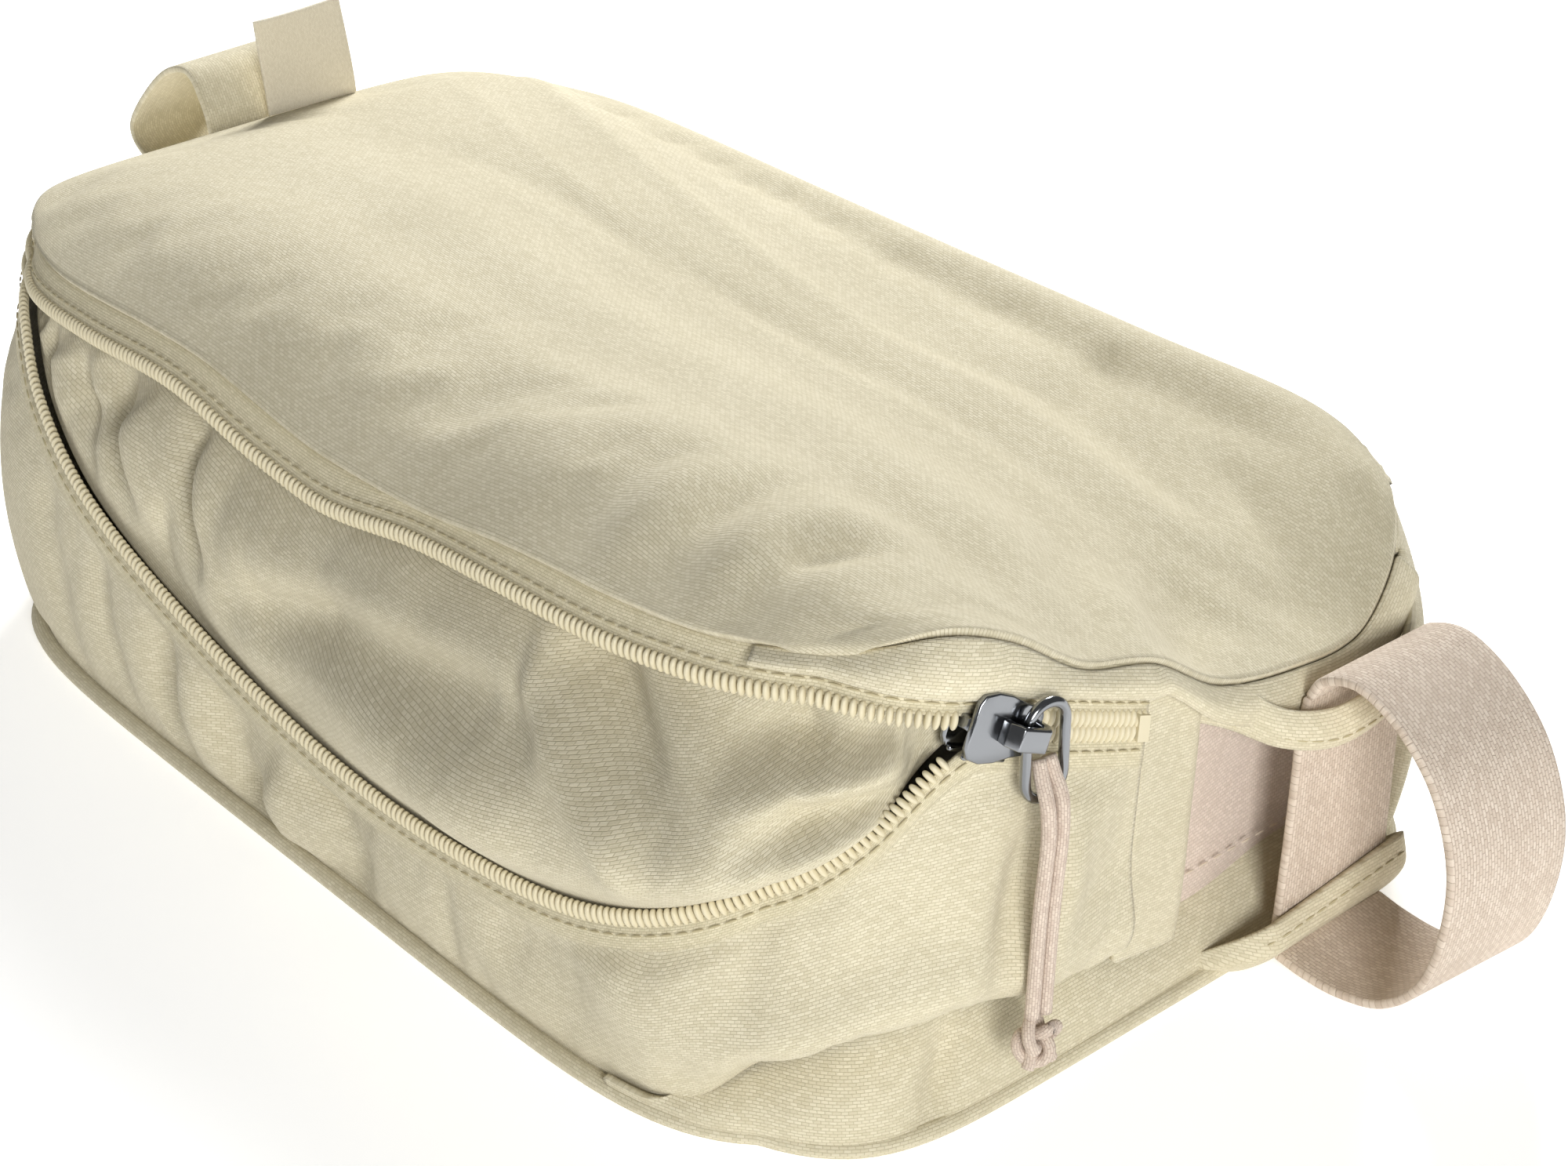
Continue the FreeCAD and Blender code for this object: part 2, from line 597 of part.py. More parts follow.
def make_puller(prefix, slider_frame, outwards, lean, drop, hang):
    ring_frame = hung_frame(slider_frame, outwards, lean)
    make_slider(prefix + "_slider", slider_frame)
    make_ring(prefix + "_ring", ring_frame)
    # The cord hangs straight down from the middle of the ring's foot.
    foot = ring_frame.multVec(V(size("ringWidth") / 2, size("ringTopLift") - size("ringLegs")
                                - size("ringWidth") / 2, 0))
    along = ring_frame.Rotation.multVec(V(1, 0, 0))
    cord_frame = frame_at(foot, along, V(outwards.x, outwards.y, 0))
    make_cord(prefix + "_pull_cord_left", -1, drop, hang, cord_frame)
    make_cord(prefix + "_pull_cord_right", 1, drop, hang, cord_frame)
    make_knot(prefix + "_pull_knot", drop, hang, cord_frame)
    origin, upright = ring_frame.Base, ring_frame.Rotation.multVec(V(0, 1, 0))
    print(f"{prefix} ring hinge at {origin.x:.2f} {origin.y:.2f} {origin.z:.2f}, axis {upright}")
    print(f"{prefix} cord hinge at {foot.x:.2f} {foot.y:.2f} {foot.z:.2f}, axis {along}")


def gusset_slider_frame():
    half_cloth = size("tapeCloth") / 2
    here = wall(CLOSE_START, size("closeHeight"), -half_cloth)
    there = wall(CLOSE_END, close_height(CLOSE_END), -half_cloth)
    ahead = there - here
    above = wall(CLOSE_START, size("closeHeight") + 3, -half_cloth) - here
    along = wall(CLOSE_START + 0.06, size("closeHeight")) - wall(CLOSE_START - 0.04, size("closeHeight"))
    along = V(along.x, along.y, ahead.z / ahead.y * along.y)
    return frame_at(here, along, along.cross(above)), ahead


def main_slider_frame():
    half_cloth = size("tapeCloth") / 2
    middle = size("mainZipHeight")
    stop = wall(MAIN_END - STOP_RUN, middle).x
    parked = stop + size("sliderLength") / 2 + 2 * size("seamGap")
    best = min(spaced(1.0, 2.0, 801), key=lambda place: abs(wall(place, middle).x - parked))
    here = wall(best, middle, -half_cloth)
    above = wall(best, middle + 3, -half_cloth) - here
    # It opens towards the handle end.
    ahead = wall(best - 0.03, middle) - wall(best + 0.03, middle)
    out = V(0, 1, 0) - above * (above.y / above.Length ** 2)
    return frame_at(here, ahead, out), best


# ---- handle, strap, tab, loop and label ------------------------------------------------
def end_face(height):
    """How far out the handle end's wall is, beside the strap."""
    return wall(0.73, height).x


def make_handle():
    width, thick = size("webbingWidth"), size("webbingThick")
    low, high = size("handleSide") - width / 2, size("handleSide") + width / 2
    rim = size("handleDipRim")
    strap_x = end_face(size("strapFoot")) + size("pipingStandOff") + size("pipingDepth") + size("strapStand")
    strap_top = rim - 2.0
    strap = [(strap_x, size("strapFoot")), (strap_x, 0.35 * strap_top), (strap_x, 0.7 * strap_top),
             (strap_x, strap_top)]
    keep("end_strap", ribbon(strap, thick, low, high))
    reach, rise = size("handleReach"), size("handleRise")
    root = strap_x + thick / 2 + size("seamGap")
    route = [(root + 0.4, strap_top - 1.5), (root + 0.25 * reach, rise - 1.5), (root + 0.55 * reach, rise - 3),
             (root + 0.85 * reach, 0.72 * rise), (root + reach, 0.42 * rise),
             (root + 0.88 * reach, 0.16 * rise), (root + 0.58 * reach, 2.0), (root + 0.25 * reach, thick),
             (root, 2.2)]
    whole = ribbon(smooth_path(route, 40), thick, low, high)
    axis_x = strap_x - size("turnBack") + 1.0
    inner_radius = size("turnRadius")
    inner = Part.makeCylinder(inner_radius, 4 * rise, V(axis_x, size("handleSide"), -rise))
    outer = Part.makeCylinder(inner_radius + size("seamGap"), 4 * rise, V(axis_x, size("handleSide"), -rise))
    keep("end_handle", whole.cut(outer))
    roots = sorted(whole.common(inner).Solids, key=lambda root: root.CenterOfMass.z)
    for label, root in zip(("end_handle_lower_root", "end_handle_upper_root"), roots):
        keep(label, root)
    print(f"handle axis x {axis_x:.2f}, strap x {strap_x:.2f}")


def make_tab():
    """The cloth keeper sewn to the fascia, which the strap passes behind."""
    thick, stand = size("tabCloth"), size("tabStand")
    middle = size("handleSide")
    rim = size("handleDipRim")
    drop = size("tabDrop")
    half = size("tabLength") / 2
    strap_x = end_face(size("strapFoot")) + size("pipingStandOff") + size("pipingDepth") + size("strapStand")
    front = strap_x + size("webbingThick") / 2 + size("seamGap") + thick
    fronts, backs = [], []
    flat_share = 0.8
    for along in spaced(-1.0, 1.0, 31):
        past = max(0.0, (abs(along) - flat_share) / (1 - flat_share))
        lift = 0.5 + 0.5 * math.cos(math.pi * past)
        base_x = end_face(rim - drop) + size("foldCloth")
        x = base_x + (front - base_x) * lift
        y = middle + half * along
        low_z, high_z = rim - drop - 3.5 * lift, rim - drop + 3.5 - 3.5 * lift
        fronts.append([V(x, y, low_z + (high_z - low_z) * share) for share in spaced(0, 1, 3)])
        backs.append([V(x - thick, y, low_z + (high_z - low_z) * share) for share in spaced(0, 1, 3)])
    keep("strap_keeper", cloth(fronts, backs))


def make_far_loop():
    half = size("loopWidth") / 2
    rim = size("farEndRim")
    x0 = wall(2.5, rim).x - 3 * size("seamGap")
    reach, rise = size("loopReach"), size("loopRise")
    thick = size("loopCloth")
    middle = rim - 3.0
    route = [(x0, middle + thick), (x0 - 0.1 * reach, middle + 0.62 * rise), (x0 - 0.28 * reach, middle + rise),
             (x0 - 0.62 * reach, middle + 0.66 * rise), (x0 - reach, middle - 0.3 * rise),
             (x0 - 0.8 * reach, middle - 0.7 * rise), (x0 - 0.4 * reach, middle - 0.55 * rise),
             (x0, middle - thick)]
    keep("far_loop", ribbon(smooth_path(route, 31), thick, -half, half))
    print(f"far loop hinge x {x0:.2f} z {middle:.2f}")


def make_label():
    """A folded cloth label that stands in the far end's seam, left plain."""
    rim = size("farEndRim") + size("panelCloth")
    x0 = wall(2.5, size("farEndRim")).x + 0.5
    foot = rim + size("labelLift")
    half = size("labelWidth") / 2
    thick = size("labelCloth")
    height, lean = size("labelHeight"), size("labelLean")
    points = [(x0, foot), (x0 - 0.1 * lean, foot + 0.3 * height), (x0 - lean, foot + height)]
    keep("side_label", ribbon(smooth_path(points, 5), thick,
                              size("labelSide") - half, size("labelSide") + half))
    print(f"label hinge x {x0 - thick / 2:.2f} z {foot:.2f}")


make_base()
make_walls()
make_gusset()
make_handle_end()
make_top()
slider_frame, slider_ahead = gusset_slider_frame()
mouth = 4 + CLOSE_START - (size("sliderLength") / 2 + 2.0) / (2 * size("baseHalfWidth") * 0.87)
make_gusset_zip(mouth)
main_frame, main_place = main_slider_frame()
make_main_zip(main_place + 2.0 / (2 * size("baseHalfLength")))
slider_out = slider_frame.Rotation.multVec(V(0, 0, 1))
make_puller("gusset_zip", slider_frame, slider_out, 0.0, size("cordDrop"), size("cordHang"))
print("gusset slide axis", V(slider_ahead).normalize())
make_puller("main_zip", main_frame, V(0, 1, 0), size("mainRingLean"), size("mainCordDrop"),
            size("mainCordHang"))
print("main slide axis", main_frame.Rotation.multVec(V(1, 0, 0)))
make_handle()
make_tab()
make_far_loop()
make_label()

doc.recompute()
os.makedirs("parts", exist_ok=True)
for item in doc.Objects:
    if "Invalid" in item.State or "Error" in item.State:
        raise RuntimeError(f"{item.Label} did not compute: {item.State}")
for item in MADE:
    shape = item.Shape
    if shape.isNull() or not shape.isValid():
        raise RuntimeError(f"{item.Label} is not a valid shape")
    if not shape.Solids:
        raise RuntimeError(f"{item.Label} holds no solid")
    shape.exportStep(f"parts/{item.Label}.step")
    box = shape.BoundBox
    print(f"{item.Label}: {len(shape.Solids)} solids, {shape.Volume:.0f} mm3, "
          f"z {box.ZMin:.1f} to {box.ZMax:.1f}")
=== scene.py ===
import math

import bpy
import bmesh
import numpy as np
from mathutils import Matrix, Vector

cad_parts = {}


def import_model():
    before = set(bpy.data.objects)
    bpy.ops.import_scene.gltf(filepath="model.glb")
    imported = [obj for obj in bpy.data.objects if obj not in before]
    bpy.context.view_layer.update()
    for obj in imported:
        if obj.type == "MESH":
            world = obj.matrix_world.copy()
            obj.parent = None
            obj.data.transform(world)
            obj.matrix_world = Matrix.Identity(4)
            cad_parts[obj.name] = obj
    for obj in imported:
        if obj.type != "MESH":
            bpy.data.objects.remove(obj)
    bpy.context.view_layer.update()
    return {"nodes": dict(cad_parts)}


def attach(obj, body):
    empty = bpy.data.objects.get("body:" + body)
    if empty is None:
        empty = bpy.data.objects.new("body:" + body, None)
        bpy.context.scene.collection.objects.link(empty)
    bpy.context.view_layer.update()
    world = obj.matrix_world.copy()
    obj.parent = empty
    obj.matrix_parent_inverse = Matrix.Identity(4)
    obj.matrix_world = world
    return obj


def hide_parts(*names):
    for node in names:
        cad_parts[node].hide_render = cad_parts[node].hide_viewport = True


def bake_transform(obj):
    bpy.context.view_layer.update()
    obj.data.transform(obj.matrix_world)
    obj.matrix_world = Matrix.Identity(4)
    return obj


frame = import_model()
scene = bpy.context.scene
mm = 0.001  # lengths below are in mm, and Blender's are in metres


# Materials

# An sRGB hex colour as Blender's linear one.
def linear(hexColour):
    channels = [int(hexColour[i:i + 2], 16) / 255 for i in (0, 2, 4)]
    return [c / 12.92 if c <= 0.04045 else ((c + 0.055) / 1.055) ** 2.4 for c in channels] + [1.0]


# A shader or geometry node, with its settings and its inputs, each a value or another node's output.
def addNode(tree, kind, **sockets):
    node = tree.nodes.new(kind)
    for name, value in sockets.items():
        if hasattr(node, name):
            setattr(node, name, value)
            continue
        socket = node.inputs[name.replace("_", " ")]
        if hasattr(value, "is_output"):
            tree.links.new(value, socket)
        else:
            socket.default_value = value
    return node


def newMaterial(name):
    material = bpy.data.materials.new(name)
    material.use_nodes = True
    tree = material.node_tree
    shader = tree.nodes["Principled BSDF"]
    return material, tree, shader


# Cloth of threads that are thread[0] by thread[1] mm, on the piece's own map, which is laid out in mm.
# The threads are drawn coarser than the real ones, which are too fine to show.
def wovenMaterial(name, light, dark, thread, depth, sheen=0.1, patch=0.35):
    material, tree, shader = newMaterial(name)
    cloth = addNode(tree, "ShaderNodeUVMap", uv_map="cloth")
    drift = addNode(tree, "ShaderNodeTexNoise", Vector=cloth.outputs["UV"], Scale=0.9, Detail=2.0)
    pushed = addNode(tree, "ShaderNodeVectorMath", operation="MULTIPLY_ADD")
    tree.links.new(drift.outputs["Color"], pushed.inputs[0])
    pushed.inputs[1].default_value = (0.35 * thread[0], 0.25 * thread[1], 0.0)
    tree.links.new(cloth.outputs["UV"], pushed.inputs[2])
    threads = addNode(tree, "ShaderNodeTexBrick", Vector=pushed.outputs[0], Scale=1.0,
                      Brick_Width=thread[0], Row_Height=thread[1], Mortar_Size=0.16 * thread[1],
                      Mortar_Smooth=1.0, Bias=0.0)
    threads.inputs["Color1"].default_value = linear(light)
    threads.inputs["Color2"].default_value = [0.5 * (a + b) for a, b in zip(linear(light), linear(dark))]
    threads.inputs["Mortar"].default_value = linear(dark)
    place = addNode(tree, "ShaderNodeTexCoord")
    patches = addNode(tree, "ShaderNodeTexNoise", Vector=place.outputs["Object"], Scale=26.0, Detail=4.0)
    tint = addNode(tree, "ShaderNodeMix", data_type="RGBA", blend_type="MULTIPLY")
    tint.inputs["Factor"].default_value = patch
    tree.links.new(threads.outputs["Color"], tint.inputs[6])
    ramp = addNode(tree, "ShaderNodeValToRGB", Fac=patches.outputs["Fac"])
    ramp.color_ramp.elements[0].position = 0.3
    ramp.color_ramp.elements[0].color = (0.80, 0.79, 0.76, 1)
    ramp.color_ramp.elements[1].position = 0.7
    ramp.color_ramp.elements[1].color = (1.0, 1.0, 1.0, 1)
    tree.links.new(ramp.outputs["Color"], tint.inputs[7])
    tree.links.new(tint.outputs[2], shader.inputs["Base Color"])
    fuzz = addNode(tree, "ShaderNodeTexNoise", Vector=cloth.outputs["UV"], Scale=2.6, Detail=3.0)
    heights = addNode(tree, "ShaderNodeMath", operation="MULTIPLY_ADD")
    tree.links.new(threads.outputs["Fac"], heights.inputs[0])
    heights.inputs[1].default_value = -0.7
    tree.links.new(fuzz.outputs["Fac"], heights.inputs[2])
    bump = addNode(tree, "ShaderNodeBump", Strength=0.55, Distance=depth * mm, Height=heights.outputs[0])
    tree.links.new(bump.outputs["Normal"], shader.inputs["Normal"])
    shader.inputs["Roughness"].default_value = 0.92
    shader.inputs["Specular IOR Level"].default_value = 0.18
    shader.inputs["Sheen Weight"].default_value = sheen
    shader.inputs["Sheen Roughness"].default_value = 0.5
    return material


# A plain surface whose gloss varies a little in spots of about a millimetre; grain is its relief in mm.
def plainMaterial(name, colour, roughness, metallic=0.0, grain=0.0):
    material, tree, shader = newMaterial(name)
    shader.inputs["Base Color"].default_value = linear(colour)
    shader.inputs["Metallic"].default_value = metallic
    place = addNode(tree, "ShaderNodeTexCoord")
    marks = addNode(tree, "ShaderNodeTexNoise", Vector=place.outputs["Object"], Scale=900.0, Detail=3.0)
    spread = addNode(tree, "ShaderNodeMapRange", Value=marks.outputs["Fac"])
    spread.inputs["To Min"].default_value = max(0.02, roughness - 0.06)
    spread.inputs["To Max"].default_value = roughness + 0.08
    tree.links.new(spread.outputs["Result"], shader.inputs["Roughness"])
    if grain:
        bump = addNode(tree, "ShaderNodeBump", Strength=0.5, Distance=grain * mm, Height=marks.outputs["Fac"])
        tree.links.new(bump.outputs["Normal"], shader.inputs["Normal"])
    return material


# Brushed polyester twill of the body: matt, warm cream, with short threads in rows and a soft fuzz
bodyCloth = wovenMaterial("body twill", "E0D8BF", "C2B899", (1.15, 0.52), 0.16)
# Woven polyester tape of the two zips: flatter and more even than the body
tapeCloth = wovenMaterial("zip tape weave", "DED5B9", "BFB593", (0.9, 0.45), 0.14, patch=0.2)
# Plain-weave cotton canvas in the recess: pinker, with an open and uneven weave
canvasCloth = wovenMaterial("pink canvas", "EADACD", "CDBBAC", (0.95, 0.62), 0.22, patch=0.25)
# Ribbed polypropylene webbing: pinkish, with deep ribs and little fuzz
webbingCloth = wovenMaterial("ribbed webbing", "E2D4C4", "BFAC9A", (1.3, 0.65), 0.34, sheen=0.05, patch=0.2)
# Braided polyester cord: small raised strands with dark gaps
cordBraid = wovenMaterial("cord braid", "DFD0C0", "B8A394", (0.9, 0.45), 0.2, sheen=0.1, patch=0.1)
# Satin ribbon of the side label: smooth and pale, with a soft sheen
labelSatin = wovenMaterial("label satin", "ECE4D0", "D2C8B0", (0.5, 0.22), 0.05, sheen=0.3, patch=0.1)
# Lining taffeta inside the pouch: thin, even and a little darker
liningCloth = wovenMaterial("lining taffeta", "CFC7AE", "A9A084", (0.4, 0.3), 0.05, patch=0.2)
# Wound polyester zip coil: a half-gloss line along each tooth
coilPlastic = plainMaterial("zip coil polyester", "D9CFB0", 0.42)
# Sewing thread: matt, and darker than the cloth. The darkness is partly painted seam shade, standing in for
# the shadow in the seam grooves, so that the seams show as thin dark lines
seamShadeThread = plainMaterial("sewing thread", "B9AE8C", 0.75, grain=0.05)
# Sewing thread of the canvas: paler, so that its row is faint
strapThread = plainMaterial("pale sewing thread", "D9C9B6", 0.75, grain=0.05)
# Polished nickel plate of slider and ring: dark and bright bands from the room
nickelPlate = plainMaterial("polished nickel", "8F9194", 0.16, metallic=1.0)
# Closed-cell foam under the top panel: dull, with fine pores
foamSheet = plainMaterial("soft foam", "E6E3D8", 0.9, grain=0.2)
# Pressed fibre board in the base: smooth and dull
boardSheet = plainMaterial("stiffener board", "D9D6CC", 0.6)
print("materials made")


# The pouch's shape, in mm: the outline, the seams and the two rows of the gusset zip
#
# A place is where something is round the pouch, seen from above: 0 to 1 along the handle end, 1 to 2 along
# the hidden side, 2 to 3 along the far end and 3 to 4 along the gusset side. Past 4 it starts again.

shape = {"halfLength": 117.0, "halfWidth": 77.0, "cornerPull": 0.143, "endBulge": 3.0, "endFlare": 5.0,
         "sideBulge": 5.0, "sideLean": 11.0, "rimShift": -1.0, "crown": 11.0, "baseSeam": 2.3,
         "closeHeight": 70.0, "closeFall": 12.3, "coil": 2.0, "rowGap": 0.2}
closeStart, closeEnd = 0.19, 0.414  # the closed stretch of the gusset zip
splitStart, splitEnd = 2.98, 4.19  # between these its two rows are apart
zipFarEnd = 2.61  # where its tapes end
mainLine = {"start": 1.15, "end": 1.829, "middle": 54.0}  # the main zip, on the hidden side


# A smooth curve through (place, value) points, flat at its ends, read at one place.
def through(points, at):
    if at <= points[0][0]:
        return points[0][1]
    if at >= points[-1][0]:
        return points[-1][1]
    slopes = [0.0] + [(c[1] - a[1]) / (c[0] - a[0]) for a, c in zip(points, points[2:])] + [0.0]
    for i, ((x0, y0), (x1, y1)) in enumerate(zip(points, points[1:])):
        if at <= x1:
            t, span = (at - x0) / (x1 - x0), x1 - x0
            return ((2 * t ** 3 - 3 * t * t + 1) * y0 + (t ** 3 - 2 * t * t + t) * span * slopes[i]
                    + (3 * t * t - 2 * t ** 3) * y1 + (t ** 3 - t * t) * span * slopes[i + 1])


# A place as a point on the edge of a square of -1 to 1.
def squarePlace(place):
    place %= 4.0
    share = 2.0 * (place % 1.0) - 1.0
    return ((1.0, share), (-share, 1.0), (-1.0, -share), (share, -1.0))[int(place)]


# A point of that square as one of the pouch's outline, whose corners are pulled in.
def rounded(u, v, halfLength, halfWidth):
    pull = shape["cornerPull"]
    return halfLength * u * (1 - pull * u * u * v ** 6), halfWidth * v * (1 - pull * v * v * u ** 6)


rimPoints = [(-0.5, 69.5), (-0.4, 70.5), (-0.3, 74), (-0.12, 77), (0.0, 80), (0.1, 84), (0.19, 81),
             (0.3, 72), (0.414, 67), (0.52, 57.7), (0.65, 53.5), (0.78, 53), (0.87, 60), (0.95, 66),
             (1.1, 67.5), (1.3, 66), (1.8, 66), (2.2, 70), (2.8, 70), (3.0, 71), (3.12, 71), (3.34, 73.5),
             (3.5, 69.5)]


# The height of the seam round the top panel.
def rimHeight(place):
    place %= 4.0
    return through(rimPoints, place if place < 3.5 else place - 4.0)


# A point on the side walls, or out mm beyond them.
def wallPoint(place, height, out=0.0):
    share = height / rimHeight(place)
    halfLength = shape["halfLength"] + shape["endBulge"] * 4 * share * (1 - share) \
        + shape["endFlare"] * share * share + out
    halfWidth = shape["halfWidth"] + shape["sideBulge"] * 4 * share * (1 - share) \
        - shape["sideLean"] * share * share + out
    u, v = squarePlace(place)
    x, y = rounded(u, v, halfLength, halfWidth)
    return np.array([x + shape["rimShift"] * share * share, y, height])


# The height of the gusset zip where its rows have met.
def closeHeight(place):
    return shape["closeHeight"] - shape["closeFall"] * (place % 4.0 - closeStart) / (closeEnd - closeStart)


halfRow = (shape["coil"] + shape["rowGap"]) / 2


def upperRow(place):
    if place >= splitEnd:
        return closeHeight(place) + halfRow
    points = [(splitStart, 65.4), (3.07, 65.2), (3.2, 66.8), (3.33, 68.2), (3.44, 64.8), (3.51, 63.8),
              (3.6, 66.8), (3.69, 69), (3.8, 70.5), (3.89, 72.2), (4.0, 73.6), (4.09, 73.2), (4.137, 72.2),
              (splitEnd, shape["closeHeight"] + halfRow)]
    return through(points, place)


def lowerRow(place):
    if place >= splitEnd:
        return closeHeight(place) - halfRow
    points = [(splitStart, 62.5), (3.07, 60), (3.14, 53), (3.24, 43.5), (3.36, 36), (3.5, 29.5), (3.62, 27.5),
              (3.74, 29.5), (3.84, 33), (3.93, 39), (4.0, 46), (4.07, 56), (4.137, 66.2),
              (splitEnd, shape["closeHeight"] - halfRow)]
    return through(points, place)


# Rises smoothly from 0 at low to 1 at high.
def smoothStep(low, high, value):
    t = min(1.0, max(0.0, (value - low) / (high - low)))
    return t * t * (3 - 2 * t)


# A soft, even wander from -1 to 1, from a few crossed waves.
def ripple(x, y, z, size, seed):
    total = 0.0
    for k in range(4):
        a, b, c = math.cos(seed + 2.1 * k), math.sin(seed * 1.7 + k), math.cos(seed * 0.6 - 1.3 * k)
        total += math.sin((a * x + b * y + c * z) / size * (1 + 0.35 * k) + seed + k)
    return total / 4


# How far a few folds push the cloth out at a point. A fold is (line, width, depth), all in mm.
def folded(at, folds):
    total = 0.0
    for line, width, depth in folds:
        nearest, share = 1e9, 0.0
        for k, ((x0, y0), (x1, y1)) in enumerate(zip(line, line[1:])):
            dx, dy = x1 - x0, y1 - y0
            t = max(0.0, min(1.0, ((at[0] - x0) * dx + (at[1] - y0) * dy) / (dx * dx + dy * dy + 1e-9)))
            away = math.hypot(at[0] - x0 - dx * t, at[1] - y0 - dy * t)
            if away < nearest:
                nearest, share = away, (k + t) / (len(line) - 1)
        total += depth * math.exp(-(nearest / width) ** 2) * math.sin(math.pi * (0.12 + 0.76 * share))
    return total


# A line of (place, height) on a side wall, as mm along the wall and up.
def alongWall(line):
    return [(place * 2 * shape["halfLength"], height) for place, height in line]


# Meshes

# How far along a line each of its points is.
def distances(points):
    return np.concatenate([[0], np.cumsum(np.linalg.norm(np.diff(points, axis=0), axis=1))])


# A sheet of quads, with a map of its cloth in mm. pointAt takes two shares from 0 to 1.
def grid(name, columns, rows, pointAt, material):
    ss = [i / columns for i in range(columns + 1)]
    ts = [j / rows for j in range(rows + 1)]
    points = np.array([[pointAt(s, t) for t in ts] for s in ss], float)
    flat = np.zeros((columns + 1, rows + 1, 2))
    flat[:, :, 0] = distances(points[:, rows // 2])[:, None]
    flat[:, 1:, 1] = np.linalg.norm(np.diff(points, axis=1), axis=2).cumsum(axis=1)
    index = np.arange((columns + 1) * (rows + 1)).reshape(columns + 1, rows + 1)
    faces = np.stack([index[:-1, :-1], index[1:, :-1], index[1:, 1:], index[:-1, 1:]], axis=-1).reshape(-1, 4)
    mesh = bpy.data.meshes.new(name)
    mesh.from_pydata((points.reshape(-1, 3) * mm).tolist(), [], faces.tolist())
    layer = mesh.uv_layers.new(name="cloth")
    layer.data.foreach_set("uv", flat.reshape(-1, 2)[faces.reshape(-1)].astype(np.float32).ravel())
    mesh.shade_smooth()
    mesh.materials.append(material)
    obj = bpy.data.objects.new(name, mesh)
    scene.collection.objects.link(obj)
    obj["columns"], obj["rows"] = columns, rows
    return obj


# Applies the modifiers to the mesh.
def bake(obj):
    graph = bpy.context.evaluated_depsgraph_get()
    mesh = bpy.data.meshes.new_from_object(obj.evaluated_get(graph))
    obj.modifiers.clear()
    obj.data = mesh
    return obj


# Gives a sheet its thickness: inwards at -1, outwards at 1, both at 0.
def thicken(obj, thick, offset=-1.0):
    solid = obj.modifiers.new("thick", "SOLIDIFY")
    solid.thickness = thick * mm
    solid.offset = offset
    solid.use_even_offset = False
    return bake(obj)


def smooth(obj):
    divide = obj.modifiers.new("smooth", "SUBSURF")
    divide.levels = 1
    divide.render_levels = 1
    return bake(obj)


# Lets a sheet of cloth settle, held at its edges and pushed outwards from within. Its cloth is larger than
# the sheet by the share "spare". It moves by "limit" mm at most, and less within "edge" rows of its seams.
def settle(obj, size, soften=1):
    grow = 10.0  # cloth this small settles better when it is made larger for the time
    before = [corner.co.copy() for corner in obj.data.vertices]
    columns, rows = obj["columns"], obj["rows"]
    obj.data.transform(Matrix.Scale(grow, 4))
    group = obj.vertex_groups.new(name="held")
    for i, weight in heldEdges(columns, rows, soften):
        group.add([i], weight, "REPLACE")
    cloth = obj.modifiers.new("settle", "CLOTH")
    cloth.settings.quality = 6
    cloth.settings.mass = 0.25
    cloth.settings.tension_stiffness = size["hold"]
    cloth.settings.compression_stiffness = size["hold"]
    cloth.settings.shear_stiffness = size["hold"] * 0.4
    cloth.settings.bending_stiffness = size["bend"]
    cloth.settings.tension_damping = 12
    cloth.settings.compression_damping = 12
    cloth.settings.shear_damping = 8
    cloth.settings.air_damping = 3
    cloth.settings.shrink_min = -size["spare"]
    cloth.settings.shrink_max = -size["spare"]
    cloth.settings.vertex_group_mass = "held"
    cloth.settings.use_pressure = True
    cloth.settings.uniform_pressure_force = size["push"]
    cloth.settings.effector_weights.gravity = 0.15
    cloth.collision_settings.use_collision = False
    cloth.point_cache.frame_start = 1
    cloth.point_cache.frame_end = size["frames"]
    for number in range(1, size["frames"] + 1):
        scene.frame_set(number)
    bake(obj)
    obj.data.transform(Matrix.Scale(1 / grow, 4))
    limit = size["limit"]
    for corner, start in zip(obj.data.vertices, before):
        i, j = divmod(corner.index, rows + 1)
        moved = corner.co - start
        far = moved.length / mm
        if far > 0:
            inside = smoothStep(0, size["edge"], min(i, columns - i, j, rows - j))
            corner.co = start + moved * (math.tanh(far / limit) * limit / far * inside)
    obj.vertex_groups.clear()
    scene.frame_set(1)


# A grid's points on its four edges, held fully, and those up to soften rows further in, held by half.
def heldEdges(columns, rows, soften):
    found = []
    for i in range(columns + 1):
        for j in range(rows + 1):
            away = min(i, columns - i, j, rows - j)
            if away <= soften:
                found.append((i * (rows + 1) + j, 1.0 if away == 0 else 0.5))
    return found


# Hands a finished piece to the frame: the body it rides on and the solids it stands for, which it hides. Its
# slot name is not used.
def done(obj, body, slotName, *nodes):
    if "." in obj.name:  # the CAD node that it stands for already has the plain name
        obj.name = obj.name.split(".")[0] + "_look"
    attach(obj, body)
    if nodes:
        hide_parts(*nodes)


# Repeated things along a line: coil teeth and stitches

# The line's points, directions and outward normals at an even pitch.
def evenly(points, outs, pitch):
    points, outs = np.array(points, float), np.array(outs, float)
    along = distances(points)
    at = np.arange(pitch / 2, along[-1], pitch)
    where = np.stack([np.interp(at, along, points[:, k]) for k in range(3)], axis=1)
    out = np.stack([np.interp(at, along, outs[:, k]) for k in range(3)], axis=1)
    ahead = np.gradient(where, axis=0)
    return where, ahead / np.linalg.norm(ahead, axis=1)[:, None], out


repeatTree = bpy.data.node_groups.new("repeat along", "GeometryNodeTree")
repeatTree.interface.new_socket("Points", in_out="INPUT", socket_type="NodeSocketGeometry")
repeatTree.interface.new_socket("Piece", in_out="INPUT", socket_type="NodeSocketObject")
repeatTree.interface.new_socket("Material", in_out="INPUT", socket_type="NodeSocketMaterial")
repeatTree.interface.new_socket("Geometry", in_out="OUTPUT", socket_type="NodeSocketGeometry")


